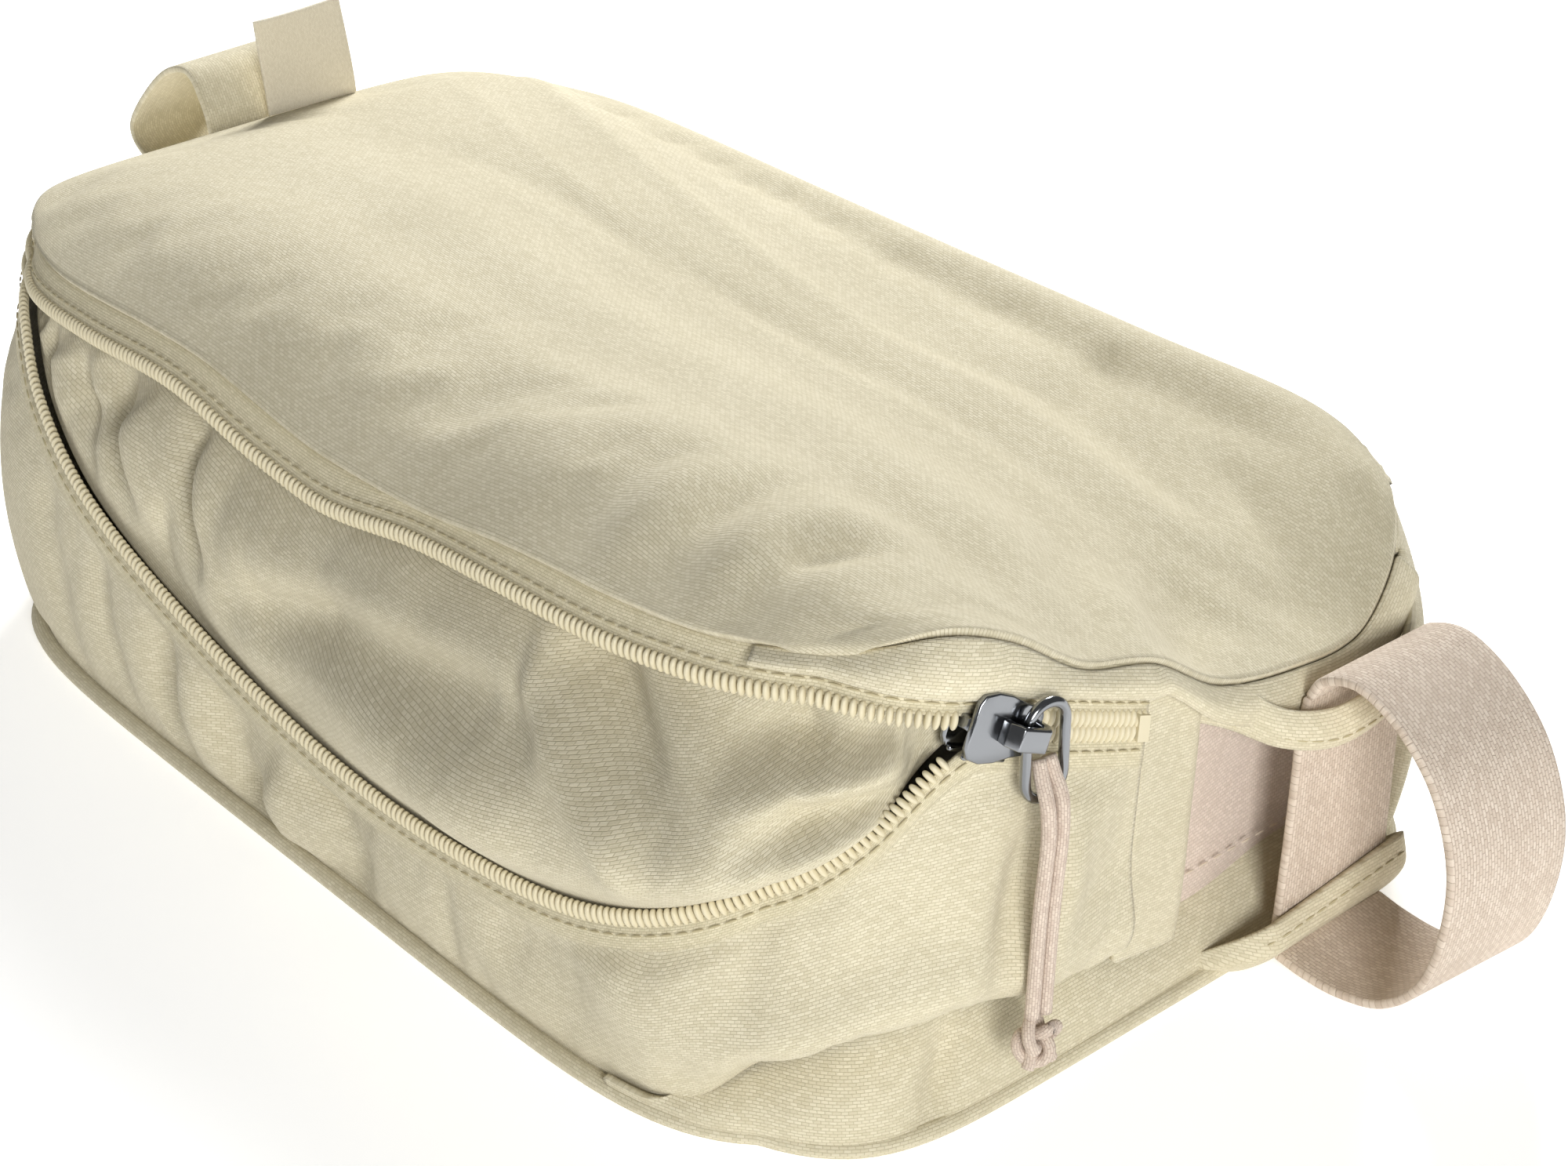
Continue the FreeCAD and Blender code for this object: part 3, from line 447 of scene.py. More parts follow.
# Copies the piece to each point, turned to the line's direction and outwards.
def buildRepeat(tree):
    given = tree.nodes.new("NodeGroupInput")
    result = tree.nodes.new("NodeGroupOutput")
    piece = addNode(tree, "GeometryNodeObjectInfo", Object=given.outputs["Piece"])
    ahead = addNode(tree, "GeometryNodeInputNamedAttribute", data_type="FLOAT_VECTOR", Name="ahead")
    out = addNode(tree, "GeometryNodeInputNamedAttribute", data_type="FLOAT_VECTOR", Name="out")
    turned = addNode(tree, "FunctionNodeAxesToRotation", primary_axis="X", secondary_axis="Z",
                     Primary_Axis=ahead.outputs["Attribute"], Secondary_Axis=out.outputs["Attribute"])
    placed = addNode(tree, "GeometryNodeInstanceOnPoints", Points=given.outputs["Points"],
                     Instance=piece.outputs["Geometry"], Rotation=turned.outputs["Rotation"])
    real = addNode(tree, "GeometryNodeRealizeInstances", Geometry=placed.outputs["Instances"])
    painted = addNode(tree, "GeometryNodeSetMaterial", Geometry=real.outputs["Geometry"],
                      Material=given.outputs["Material"])
    tree.links.new(painted.outputs["Geometry"], result.inputs["Geometry"])


buildRepeat(repeatTree)


# Copies of a small piece along lines of (points, outward normals), as one plain mesh.
def repeatAlong(name, lines, piece, material, pitch):
    where, ahead, out = [np.concatenate(part) for part in zip(*[evenly(p, o, pitch) for p, o in lines])]
    mesh = bpy.data.meshes.new(name)
    mesh.from_pydata((where * mm).tolist(), [], [])
    for label, values in (("ahead", ahead), ("out", out)):
        mesh.attributes.new(label, "FLOAT_VECTOR", "POINT").data.foreach_set("vector", values.ravel())
    obj = bpy.data.objects.new(name, mesh)
    scene.collection.objects.link(obj)
    repeat = obj.modifiers.new("repeat", "NODES")
    repeat.node_group = repeatTree
    sockets = {item.name: item.identifier for item in repeatTree.interface.items_tree}
    repeat[sockets["Piece"]] = piece
    repeat[sockets["Material"]] = material
    obj.update_tag()
    bpy.context.view_layer.update()
    bake(obj)
    obj.data.shade_smooth()
    return obj


# A piece to be copied along a line. It is deleted before the end.
def smallPiece(name, build):
    shaped = bmesh.new()
    build(shaped)
    mesh = bpy.data.meshes.new(name)
    shaped.to_mesh(mesh)
    shaped.free()
    mesh.shade_smooth()
    obj = bpy.data.objects.new(name, mesh)
    scene.collection.objects.link(obj)
    obj.hide_render = True
    return obj


# One stitch: a slim grain of thread along x.
def stitchShape(shaped):
    size = {"length": 2.1, "width": 0.42, "height": 0.34}
    bmesh.ops.create_uvsphere(shaped, u_segments=8, v_segments=6, radius=0.5)
    for corner in shaped.verts:
        x, y, z = corner.co
        corner.co = (z * size["length"] * mm, x * size["width"] * mm, y * size["height"] * mm)


stitchPiece = smallPiece("stitch", stitchShape)


# One turn of the coil: a rounded loop across the tape with its head at the open edge.
def toothShape(shaped):
    size = {"along": 1.02, "across": 2.9, "height": 1.9, "head": 0.25}
    bmesh.ops.create_uvsphere(shaped, u_segments=10, v_segments=8, radius=0.5)
    for corner in shaped.verts:
        x, y, z = corner.co
        head = 1.0 + size["head"] * smoothStep(0.1, 0.5, z)
        corner.co = (x * size["along"] * head * mm, z * size["across"] * mm, y * size["height"] * mm)


toothPiece = smallPiece("coil_tooth", toothShape)
print("helpers ready")


# Top panel

# A point of the top panel: a sheet between its four seams, raised by its crown.
def topPoint(u, v):
    across, along = (1 + v) / 2, (1 + u) / 2
    gusset, hidden = rimHeight(3 + along), rimHeight(2 - along)
    far, near = rimHeight(3 - across), rimHeight(across)
    corners = ((1 - along) * (1 - across) * rimHeight(3) + along * (1 - across) * rimHeight(0)
               + (1 - along) * across * rimHeight(2) + along * across * rimHeight(1))
    z = (1 - across) * gusset + across * hidden + (1 - along) * far + along * near - corners
    z += shape["crown"] * (1 - u ** 4) * (1 - v ** 4)
    x, y = rounded(u, v, shape["halfLength"] + shape["endFlare"], shape["halfWidth"] - shape["sideLean"])
    return np.array([x + shape["rimShift"], y, z])


# The soft crease along the panel and the fall of the cloth beyond it.
def ridge(x, y):
    crease = {"slope": 0.26, "soft": 2.6, "second": 17.0}
    line = through([(-115, 51), (-68, 40), (-27, 32), (18, 28), (54, 29), (95, 25)], x)
    past = (y - line) / crease["soft"]
    fall = crease["slope"] * crease["soft"] * math.log1p(math.exp(min(past, 30)))
    bead = 0.7 * math.exp(-past * past) + 0.35 * math.exp(-((y - line + crease["second"]) / 2.2) ** 2)
    fade = smoothStep(-118, -90, x) * (1 - smoothStep(70, 112, x)) * (1 - smoothStep(52, 64, y))
    return (bead - fall) * fade


topFolds = [([(92, -4), (108, -13), (119, -19)], 5.0, -3.6), ([(100, 2), (114, -8), (121, -14)], 4.5, 2.2),
            ([(104, 12), (114, 2), (121, -6)], 5.0, -3.1), ([(108, -28), (92, -25), (70, -24)], 6.0, -1.7),
            ([(55, -66), (56, -58), (57, -44)], 6.0, -1.8), ([(66, -66), (65, -54), (64, -42)], 4.0, 1.4),
            ([(78, -66), (74, -52), (72, -34)], 4.5, -2.7), ([(85, -64), (84, -47), (89, -30)], 3.5, 1.4),
            ([(93, -62), (92, -50), (96, -34)], 4.0, -2.2), ([(104, -58), (106, -44), (100, -34)], 5.0, -1.7),
            ([(116, 30), (108, 24), (96, 22)], 5.0, -1.8), ([(118, 20), (110, 15), (98, 14)], 4.0, -1.7),
            ([(-75, 9), (-49, 12), (-6, 14), (48, 17), (83, 16), (112, 12)], 4.5, -1.1),
            ([(10, -66), (12, -50), (8, -34)], 7.0, -1.3), ([(-40, -66), (-36, -48), (-40, -30)], 8.0, -1.0)]


# The padded top panel, with its foam and lining hung under it.
def topPanel():
    size = {"columns": 120, "rows": 72, "thick": 1.4, "frames": 36, "push": 1.2, "spare": 0.012, "bend": 2.0,
            "hold": 30.0, "limit": 1.6, "edge": 8, "inset": 6, "foam": 3.0, "foamDrop": 2.4, "lining": 0.4,
            "liningDrop": 5.6}
    top = grid("top_panel_cloth", size["columns"], size["rows"], lambda s, t: topPoint(2 * s - 1, 2 * t - 1),
               bodyCloth)
    settle(top, size)
    under = []
    for corner in top.data.vertices:
        x, y, z = corner.co / mm
        u = 2 * (corner.index // (size["rows"] + 1)) / size["columns"] - 1
        v = 2 * (corner.index % (size["rows"] + 1)) / size["rows"] - 1
        edge = (1 - u ** 14) * (1 - v ** 14)
        z += (ridge(x, y) + folded((x, y), topFolds) + 0.3 * ripple(x, y, z, 24, 3.1)) * edge
        corner.co.z = z * mm
        under.append((x, y, z))
    inset = size["inset"]  # rows left free all round, clear of the seams
    columns, rows = size["columns"] - 2 * inset, size["rows"] - 2 * inset
    for layer, material in (("foam", foamSheet), ("lining", liningCloth)):

        def pointAt(s, t):
            i, j = inset + int(round(s * columns)), inset + int(round(t * rows))
            x, y, z = under[i * (size["rows"] + 1) + j]
            return (x, y, z - size[f"{layer}Drop"])

        sheet = grid(f"top_{layer}_sheet", columns, rows, pointAt, material)
        thicken(sheet, size[layer])
        done(sheet, "pouch", layer, f"top_{layer}")
    smooth(top)
    thicken(top, size["thick"], 1.0)
    done(top, "pouch", "body_fabric", "top_panel")


topPanel()
print("top panel made")


# Side walls

# The lower edge of the wall: the base seam, and a raised edge over the base's lip at the handle end.
def wallFoot(place):
    at = place if place > 2.2 else place + 4
    return through([(3.9, shape["baseSeam"]), (3.96, 7), (4.02, 14.5), (4.09, 19.5), (4.18, 20.5), (4.32, 17),
                    (4.43, 15), (4.52, 13), (4.84, 12), (4.92, shape["baseSeam"])], at)


wallFolds = [(alongWall([(3.35, 33), (3.345, 20), (3.36, 5)]), 4.5, -3.3),
             (alongWall([(3.39, 28), (3.40, 16), (3.41, 4)]), 4.0, 2.1),
             (alongWall([(3.42, 27), (3.43, 14), (3.45, 4)]), 4.5, -3.9),
             (alongWall([(3.50, 22), (3.49, 12), (3.51, 3)]), 5.0, 2.4),
             (alongWall([(3.54, 20), (3.575, 12), (3.57, 2)]), 4.5, -3.6),
             (alongWall([(3.44, 21), (3.53, 19), (3.60, 23)]), 4.5, -3.3),
             (alongWall([(3.26, 36), (3.27, 20), (3.29, 4)]), 4.5, -2.4),
             (alongWall([(3.18, 40), (3.19, 24), (3.20, 6)]), 5.0, -1.8),
             (alongWall([(3.73, 26), (3.80, 21), (3.86, 12)]), 9.0, -2.1),
             (alongWall([(3.84, 24), (3.92, 22), (4.0, 26)]), 10.0, 2.7),
             (alongWall([(4.265, 52), (4.255, 39), (4.245, 27)]), 6.0, -3.3),
             (alongWall([(4.31, 50), (4.31, 40), (4.30, 28)]), 7.0, 2.4)]

gussetFolds = [(alongWall([(3.45, 43), (3.555, 49), (3.684, 52.5), (3.755, 54)]), 4.5, -6.9),
               (alongWall([(3.43, 56), (3.56, 60), (3.70, 63)]), 7.0, 3.9),
               (alongWall([(3.752, 64), (3.757, 59), (3.81, 55), (3.86, 50), (3.88, 46)]), 3.6, 4.5),
               (alongWall([(3.80, 69), (3.79, 63), (3.84, 58), (3.89, 55)]), 6.0, -6.9),
               (alongWall([(3.66, 42), (3.74, 43), (3.80, 42)]), 8.0, 2.7),
               (alongWall([(3.935, 62), (3.98, 65), (4.05, 67), (4.12, 66.5)]), 2.8, -4.5),
               (alongWall([(3.95, 59), (4.0, 62), (4.07, 65), (4.12, 66)]), 2.4, 3.0),
               (alongWall([(3.97, 54), (4.01, 58), (4.06, 61.5), (4.11, 64.5)]), 2.8, -5.4),
               (alongWall([(3.93, 49), (3.99, 52), (4.05, 57)]), 6.0, 3.9),
               (alongWall([(3.334, 64), (3.352, 59), (3.377, 53), (3.40, 46)]), 2.6, -6.0),
               (alongWall([(3.36, 62), (3.38, 57), (3.41, 50)]), 3.5, 2.4),
               (alongWall([(3.169, 62), (3.20, 56), (3.24, 49)]), 2.6, -4.2),
               (alongWall([(3.22, 62), (3.255, 56), (3.30, 48)]), 2.8, -4.2),
               (alongWall([(3.28, 62), (3.30, 56), (3.34, 46)]), 3.2, 2.1),
               (alongWall([(3.11, 62), (3.125, 58), (3.14, 54)]), 2.4, -3.0),
               (alongWall([(3.47, 42), (3.52, 38), (3.60, 38)]), 6.0, -2.4)]


# Presses the folds into a wall sheet along its own outward directions, fading out at its seams.
def pressFolds(sheet, start, end, folds):
    columns, rows = sheet["columns"], sheet["rows"]
    for corner in sheet.data.vertices:
        i, j = divmod(corner.index, rows + 1)
        place, height = start + (end - start) * i / columns, corner.co.z / mm
        inside = smoothStep(0, 0.16 * rows, min(j, rows - j))
        amount = folded((place * 2 * shape["halfLength"], height), folds) * inside
        ahead = Vector(wallPoint(place + 0.02, height) - wallPoint(place - 0.02, height))
        away = ahead.cross(Vector((0, 0, 1))).normalized()
        corner.co += away * amount * mm


# A sheet of the wall between two places and between its low and high edges.
def wallSheet(name, start, end, low, high, columns, rows, out):
    def pointAt(s, t):
        place = start + (end - start) * s
        height = low(place) + (high(place) - low(place)) * t
        return wallPoint(place, height, out(place, t, height))
    return grid(name, columns, rows, pointAt, bodyCloth)


# The wall below the gusset zip, tucked in behind the base's lip.
def gussetWall():
    size = {"columns": 160, "rows": 30, "thick": 1.0, "tuck": 4.0, "belly": 3.0, "sag": 2.2, "underRow": 4.2,
            "frames": 34, "push": 1.4, "spare": 0.02, "bend": 1.5, "hold": 30.0, "limit": 2.4, "edge": 5}

    def out(place, t, height):
        foot = wallFoot(place)
        raised = smoothStep(4.0, 14.0, foot)
        tuckIn = -size["tuck"] * raised * (1 - smoothStep(0, 5, height - foot))
        tuckIn += size["belly"] * raised * math.exp(-((height - foot - 9) / 7) ** 2)
        x, y, _ = wallPoint(place, height)
        sag = size["sag"] * ripple(x, y, height * 0.7, 17, 1.4) * math.sin(math.pi * t)
        return tuckIn + 0.6 * sag

    wall = wallSheet("gusset_side_wall", zipFarEnd, 4 + closeEnd, wallFoot,
                     lambda p: lowerRow(p) - size["underRow"], size["columns"], size["rows"], out)
    settle(wall, size)
    pressFolds(wall, zipFarEnd, 4 + closeEnd, wallFolds)
    smooth(wall)
    thicken(wall, size["thick"])
    done(wall, "pouch", "body_fabric", "gusset_side_wall")


# The walls round the main zip and the far end.
def hiddenWalls():
    size = {"start": 0.895, "end": 2.392, "halfGap": 5.6, "thick": 1.0}

    def out(place, t, height):
        x, y, _ = wallPoint(place, height)
        return 0.9 * ripple(x, y, height, 19, 5.2) * math.sin(math.pi * t)

    def foot(place):
        return shape["baseSeam"]

    def top(place):
        return rimHeight(place) + 0.2

    def underZip(place):
        return mainLine["middle"] - size["halfGap"]

    def overZip(place):
        return mainLine["middle"] + size["halfGap"]

    start, end = mainLine["start"], mainLine["end"]
    for name, node, first, last, low, high, columns, rows in (
            ("hidden_corner_wall", "hidden_corner_wall", size["start"], start, foot, top, 30, 26),
            ("hidden_far_wall", "hidden_far_wall", end, size["end"], foot, top, 60, 26),
            ("hidden_lower_wall", "hidden_side_lower_wall", start, end, foot, underZip, 80, 20),
            ("hidden_upper_wall", "hidden_side_upper_wall", start, end, overZip, top, 80, 8),
            ("far_seam_panel", "far_seam_panel", size["end"], zipFarEnd, foot, top, 16, 26)):
        wall = wallSheet(name, first, last, low, high, columns, rows, out)
        smooth(wall)
        thicken(wall, size["thick"])
        done(wall, "pouch", "body_fabric", node)


# The soft cloth between the zip's two rows, which bulges out where they are far apart.
def gussetCloth():
    size = {"columns": 180, "rows": 30, "start": 3.0, "end": 4.2, "thick": 0.7, "overlap": 1.4, "tuck": 2.2,
            "deep": 4.5, "bulge": 7.5, "fullHeight": 36, "behindSlider": 2.4,
            "frames": 40, "push": 1.0, "spare": 0.06, "bend": 0.8, "hold": 20.0, "limit": 1.6, "edge": 10}

    def pointAt(s, t):
        place = size["start"] + (size["end"] - size["start"]) * s
        low, high = lowerRow(place) - size["overlap"], upperRow(place) + size["overlap"]
        spread = min(1.0, (high - low) / size["fullHeight"])
        height = low + (high - low) * t
        fuller = 0.12 + 0.88 * smoothStep(3.34, 3.66, place)
        bulge = size["bulge"] * fuller * math.sin(math.pi * min(1, t * 1.25)) ** 1.3
        hollow = size["deep"] * smoothStep(0.6, 0.9, t) * (1 - smoothStep(0.93, 1, t))
        out = -size["tuck"] + spread * (bulge - hollow)
        out -= size["behindSlider"] * smoothStep(4.07, 4.125, place)
        x, y, _ = wallPoint(place, height)
        out += spread * 1.8 * ripple(x, y * 0.6, height * 0.9, 9.5, 2.2) * math.sin(math.pi * t)
        return wallPoint(place, height, out)

    cloth = grid("expansion_gusset", size["columns"], size["rows"], pointAt, bodyCloth)
    settle(cloth, size, soften=0)
    pressFolds(cloth, size["start"], size["end"], gussetFolds)
    smooth(cloth)
    thicken(cloth, size["thick"])
    done(cloth, "pouch", "body_fabric", "expansion_gusset")


# The recess that the strap lies in: a fold on one side, a hem on the other and canvas at the back.
def handleEnd():
    size = {"thick": 1.0, "foldIn": 6.5, "foldEnd": 0.555, "hemStart": 0.90, "hemOver": 0.012,
            "canvasStart": 0.50, "canvasEnd": 0.87, "canvasFoot": 2.6, "canvasThick": 0.9, "recess": 7.5,
            "rowHeight": 19.0, "rowOut": 1.6, "rowPitch": 3.2}

    def foldPoint(s, t):
        place = closeEnd + 0.001 + (size["foldEnd"] - closeEnd) * s
        foot, head = wallFoot(place), rimHeight(place) - 3.0
        height = foot + (head - foot) * t
        turn = -size["foldIn"] * smoothStep(0.55, 1.0, s) - 0.6 * s
        return wallPoint(place, height, turn + 0.4 * math.sin(5 * t + 3 * s))

    strip = grid("end_fold", 18, 26, foldPoint, bodyCloth)
    smooth(strip)
    thicken(strip, size["thick"])
    done(strip, "pouch", "body_fabric", "end_fold_gusset_side")

    def hemPoint(s, t):
        place = size["hemStart"] - (size["hemStart"] - size["canvasEnd"] + size["hemOver"]) * s
        foot, head = wallFoot(place), rimHeight(place) - 1.0
        turn = -size["foldIn"] * smoothStep(0.5, 1.0, s)
        return wallPoint(place, foot + (head - foot) * t, turn)

    hem = grid("end_hem", 14, 24, hemPoint, bodyCloth)
    smooth(hem)
    thicken(hem, size["thick"])
    done(hem, "pouch", "body_fabric", "end_fold_hidden_side")

    def canvasPoint(s, t):
        place = size["canvasStart"] + (size["canvasEnd"] - size["canvasStart"]) * s
        foot, head = size["canvasFoot"], rimHeight(place) - 1.0
        height = foot + (head - foot) * t
        sag = 0.7 * math.sin(7 * s + 2.5 * t) + 0.5 * math.sin(11 * t - 4 * s)
        return wallPoint(place, height, -size["recess"] + sag)

    canvas = grid("end_canvas", 40, 26, canvasPoint, canvasCloth)
    smooth(canvas)
    thicken(canvas, size["canvasThick"])
    done(canvas, "pouch", "canvas", "end_canvas")
    deep = size["rowOut"] - size["recess"]
    row = [wallPoint(p, size["rowHeight"], deep) for p in np.linspace(0.48, 0.86, 40)]
    stitches = repeatAlong("canvas_stitches", [(row, [(1, 0, 0)] * 40)], stitchPiece, strapThread,
                           size["rowPitch"])
    done(stitches, "pouch", "webbing")


# The strip between the top panel's end seam and the gusset zip, then over the strap's recess.
def fascia():
    size = {"start": 3.94, "end": 4.885, "thick": 1.2, "overRow": 3.6, "drop": 3.5}

    def low(place):
        near = upperRow(min(place, 4 + closeEnd)) + size["overRow"]
        if place < 4 + closeEnd:
            return near
        return min(near, rimHeight(place) - size["drop"] * (1 + smoothStep(4.42, 4.6, place)))

    def pointAt(s, t):
        place = size["start"] + (size["end"] - size["start"]) * s
        height = low(place) + (rimHeight(place) + 0.5 - low(place)) * t
        return wallPoint(place, height, 1.5 + 1.2 * math.sin(math.pi * t) - 0.8 * t)

    strip = grid("end_fascia", 110, 8, pointAt, bodyCloth)
    smooth(strip)
    thicken(strip, size["thick"])
    done(strip, "pouch", "body_fabric", "end_fascia", "end_fascia_gusset_side")


# The base, the piping round it and the lip that stands up round the handle end.
def baseParts():
    size = {"height": 1.9, "thick": 1.6, "piping": 1.5, "pipingOut": 1.5, "pipingHeight": 1.7,
            "lipStart": 3.86, "lipEnd": 4.93, "lipOver": 2.0, "lipOut": 1.6, "lipIn": 11.0, "lipThick": 1.0}

    def basePoint(s, t):
        x, y = rounded(2 * s - 1, 2 * t - 1, shape["halfLength"], shape["halfWidth"])
        return (x, y, size["height"])

    base = grid("base_panel", 60, 40, basePoint, bodyCloth)
    thicken(base, size["thick"])
    done(base, "pouch", "body_fabric", "base_panel")

    def pipingPoint(s, t):
        place, turn = 4 * s, 2 * math.pi * t
        return wallPoint(place, 0, size["pipingOut"] + size["piping"] * math.cos(turn)) \
            + (0, 0, size["pipingHeight"] + size["piping"] * math.sin(turn))

    piping = grid("base_piping", 260, 12, pipingPoint, bodyCloth)
    done(piping, "pouch", "body_fabric", "base_piping_gusset_side", "base_piping_hidden_side")

    def lipPoint(s, t):
        place = size["lipStart"] + (size["lipEnd"] - size["lipStart"]) * s
        top = wallFoot(place) + size["lipOver"]
        height = size["height"] + (top - size["height"]) * t
        belly = 2.4 * math.sin(math.pi * t) + 0.8 * ripple(place * 90, t * 30, 0, 11, 2.0)
        dent = math.exp(-((place - 4.17 - 0.05 * t) / 0.022) ** 2)
        belly -= 3.0 * dent * math.sin(math.pi * min(1, 1.3 * t))
        return wallPoint(place, height, size["lipOut"] - size["lipIn"] * t * smoothStep(3.9, 4.02, place)
                         + belly * smoothStep(3.9, 4.0, place))

    lip = grid("base_lip", 110, 10, lipPoint, bodyCloth)
    smooth(lip)
    thicken(lip, size["lipThick"])
    done(lip, "pouch", "body_fabric")


gussetWall()
hiddenWalls()
gussetCloth()
handleEnd()
fascia()
baseParts()
print("walls made")


# Zips

# Points, in mm, and outward directions along the wall, at the height that row gives for each place.
def rowLine(start, end, row, out, count=500):
    places = np.linspace(start, end, count)
    points = np.array([wallPoint(p, row(p), out) for p in places])
    ahead = np.gradient(points, axis=0)
    outs = np.cross(ahead, np.tile([0.0, 0.0, 1.0], (count, 1)))
    return points, outs / np.linalg.norm(outs, axis=1)[:, None]


# A strip of zip tape on the wall, between its low and high edges.
def tapeStrip(name, start, end, low, high, out, columns):
    def pointAt(s, t):
        place = start + (end - start) * s
        return wallPoint(place, low(place) + (high(place) - low(place)) * t, out)
    tape = grid(name, columns, 3, pointAt, tapeCloth)
    thicken(tape, 0.6)
    done(tape, "pouch", "zip_tape", name)


# The zip that closes the gusset: two tapes, two parted coils, and the closed chain behind the slider.
def gussetZip():
    size = {"pitch": 1.25, "tape": 5.6, "tapeMost": 8.5, "coilGap": 0.7, "tapeOut": 0.15, "columns": 260,
            "stitchAt": 2.6, "stitchOut": 0.5, "stitchPitch": 2.7, "mouth": 4.14}

    def tapeTop(place):
        row = upperRow(place)
        return max(row + size["tape"], min(rimHeight(place) + 0.9, row + size["tapeMost"]))

    tapeStrip("gusset_zip_upper_tape", zipFarEnd, 4 + closeEnd, lambda p: upperRow(p) + size["coilGap"],
              tapeTop, size["tapeOut"], size["columns"])
    tapeStrip("gusset_zip_lower_tape", zipFarEnd, 4 + closeEnd, lambda p: lowerRow(p) - size["tape"],
              lambda p: lowerRow(p) - size["coilGap"], size["tapeOut"], size["columns"])
    for label, row, sign in (("upper", upperRow, 1), ("lower", lowerRow, -1)):
        line = rowLine(zipFarEnd, size["mouth"], row, 0.0)
        teeth = repeatAlong(f"gusset_zip_{label}_coil", [line], toothPiece, coilPlastic, size["pitch"])
        done(teeth, "pouch", "zip_coil", f"gusset_zip_{label}_coil")
        seam = rowLine(zipFarEnd, 4 + closeEnd, lambda p, r=row, k=sign: r(p) + k * size["stitchAt"],
                       size["stitchOut"])
        stitches = repeatAlong(f"gusset_zip_{label}_stitches", [seam], stitchPiece, seamShadeThread,
                               size["stitchPitch"])
        done(stitches, "pouch", "zip_tape")
    closed = [rowLine(4 + closeStart - 0.01, 4 + closeEnd, upperRow, 0.0, 90),
              rowLine(4 + closeStart - 0.005, 4 + closeEnd, lowerRow, 0.0, 90)]
    chain = repeatAlong("gusset_zip_closed_chain", closed, toothPiece, coilPlastic, size["pitch"])
    done(chain, "pouch", "zip_coil", "gusset_zip_closed_chain")


# The zip into the pouch, on the hidden side.
def mainZip():
    size = {"tape": 7.0, "coilGap": 1.9, "sunk": -0.2, "columns": 120, "pitch": 1.25, "chainEnd": 1.786}
    start, end, middle = mainLine["start"], mainLine["end"], mainLine["middle"]
    for label, sign in (("upper", 1), ("lower", -1)):
        edges = sorted((middle + sign * size["coilGap"], middle + sign * size["tape"]))
        tapeStrip(f"main_zip_{label}_tape", start, end, lambda p, e=edges: e[0], lambda p, e=edges: e[1],
                  size["sunk"], size["columns"])
    rows = [rowLine(start + 0.02 + shift, size["chainEnd"], lambda p, h=height: h, size["sunk"], 200)
            for height, shift in ((middle + halfRow, 0), (middle - halfRow, 0.005))]
    chain = repeatAlong("main_zip_chain", rows, toothPiece, coilPlastic, size["pitch"])
    done(chain, "pouch", "zip_coil", "main_zip_chain")


gussetZip()
mainZip()
print("zips made")


# Sliders, rings and pull cords

# A slider plate: broad at the mouth and narrow where the chain leaves.
def plateShape(shaped, low, high):
    half = [(-6.1, 3.2), (-5.4, 4.6), (-3.2, 5.15), (-0.6, 4.9), (2.2, 4.0), (4.6, 3.6), (5.8, 3.0),
            (6.1, 2.2)]
    outline = half + [(x, -y) for x, y in reversed(half)]
    lower = [shaped.verts.new((x * mm, y * mm, low * mm)) for x, y in outline]
    upper = [shaped.verts.new((x * mm, y * mm, high * mm)) for x, y in outline]
    shaped.faces.new(list(reversed(lower)))
    shaped.faces.new(upper)
    count = len(outline)
    for i in range(count):
        j = (i + 1) % count
        shaped.faces.new([lower[i], lower[j], upper[j], upper[i]])


def blockShape(shaped, low, high):
    for corner in bmesh.ops.create_cube(shaped, size=1.0)["verts"]:
        corner.co = Vector([(low[k] + (high[k] - low[k]) * (corner.co[k] + 0.5)) * mm for k in range(3)])


sliderSize = {"channel": 1.8, "plate": 1.1, "noseFrom": -1.2, "noseTo": 6.0, "noseGap": 2.4, "nose": 1.3,
              "noseWidth": 3.4}


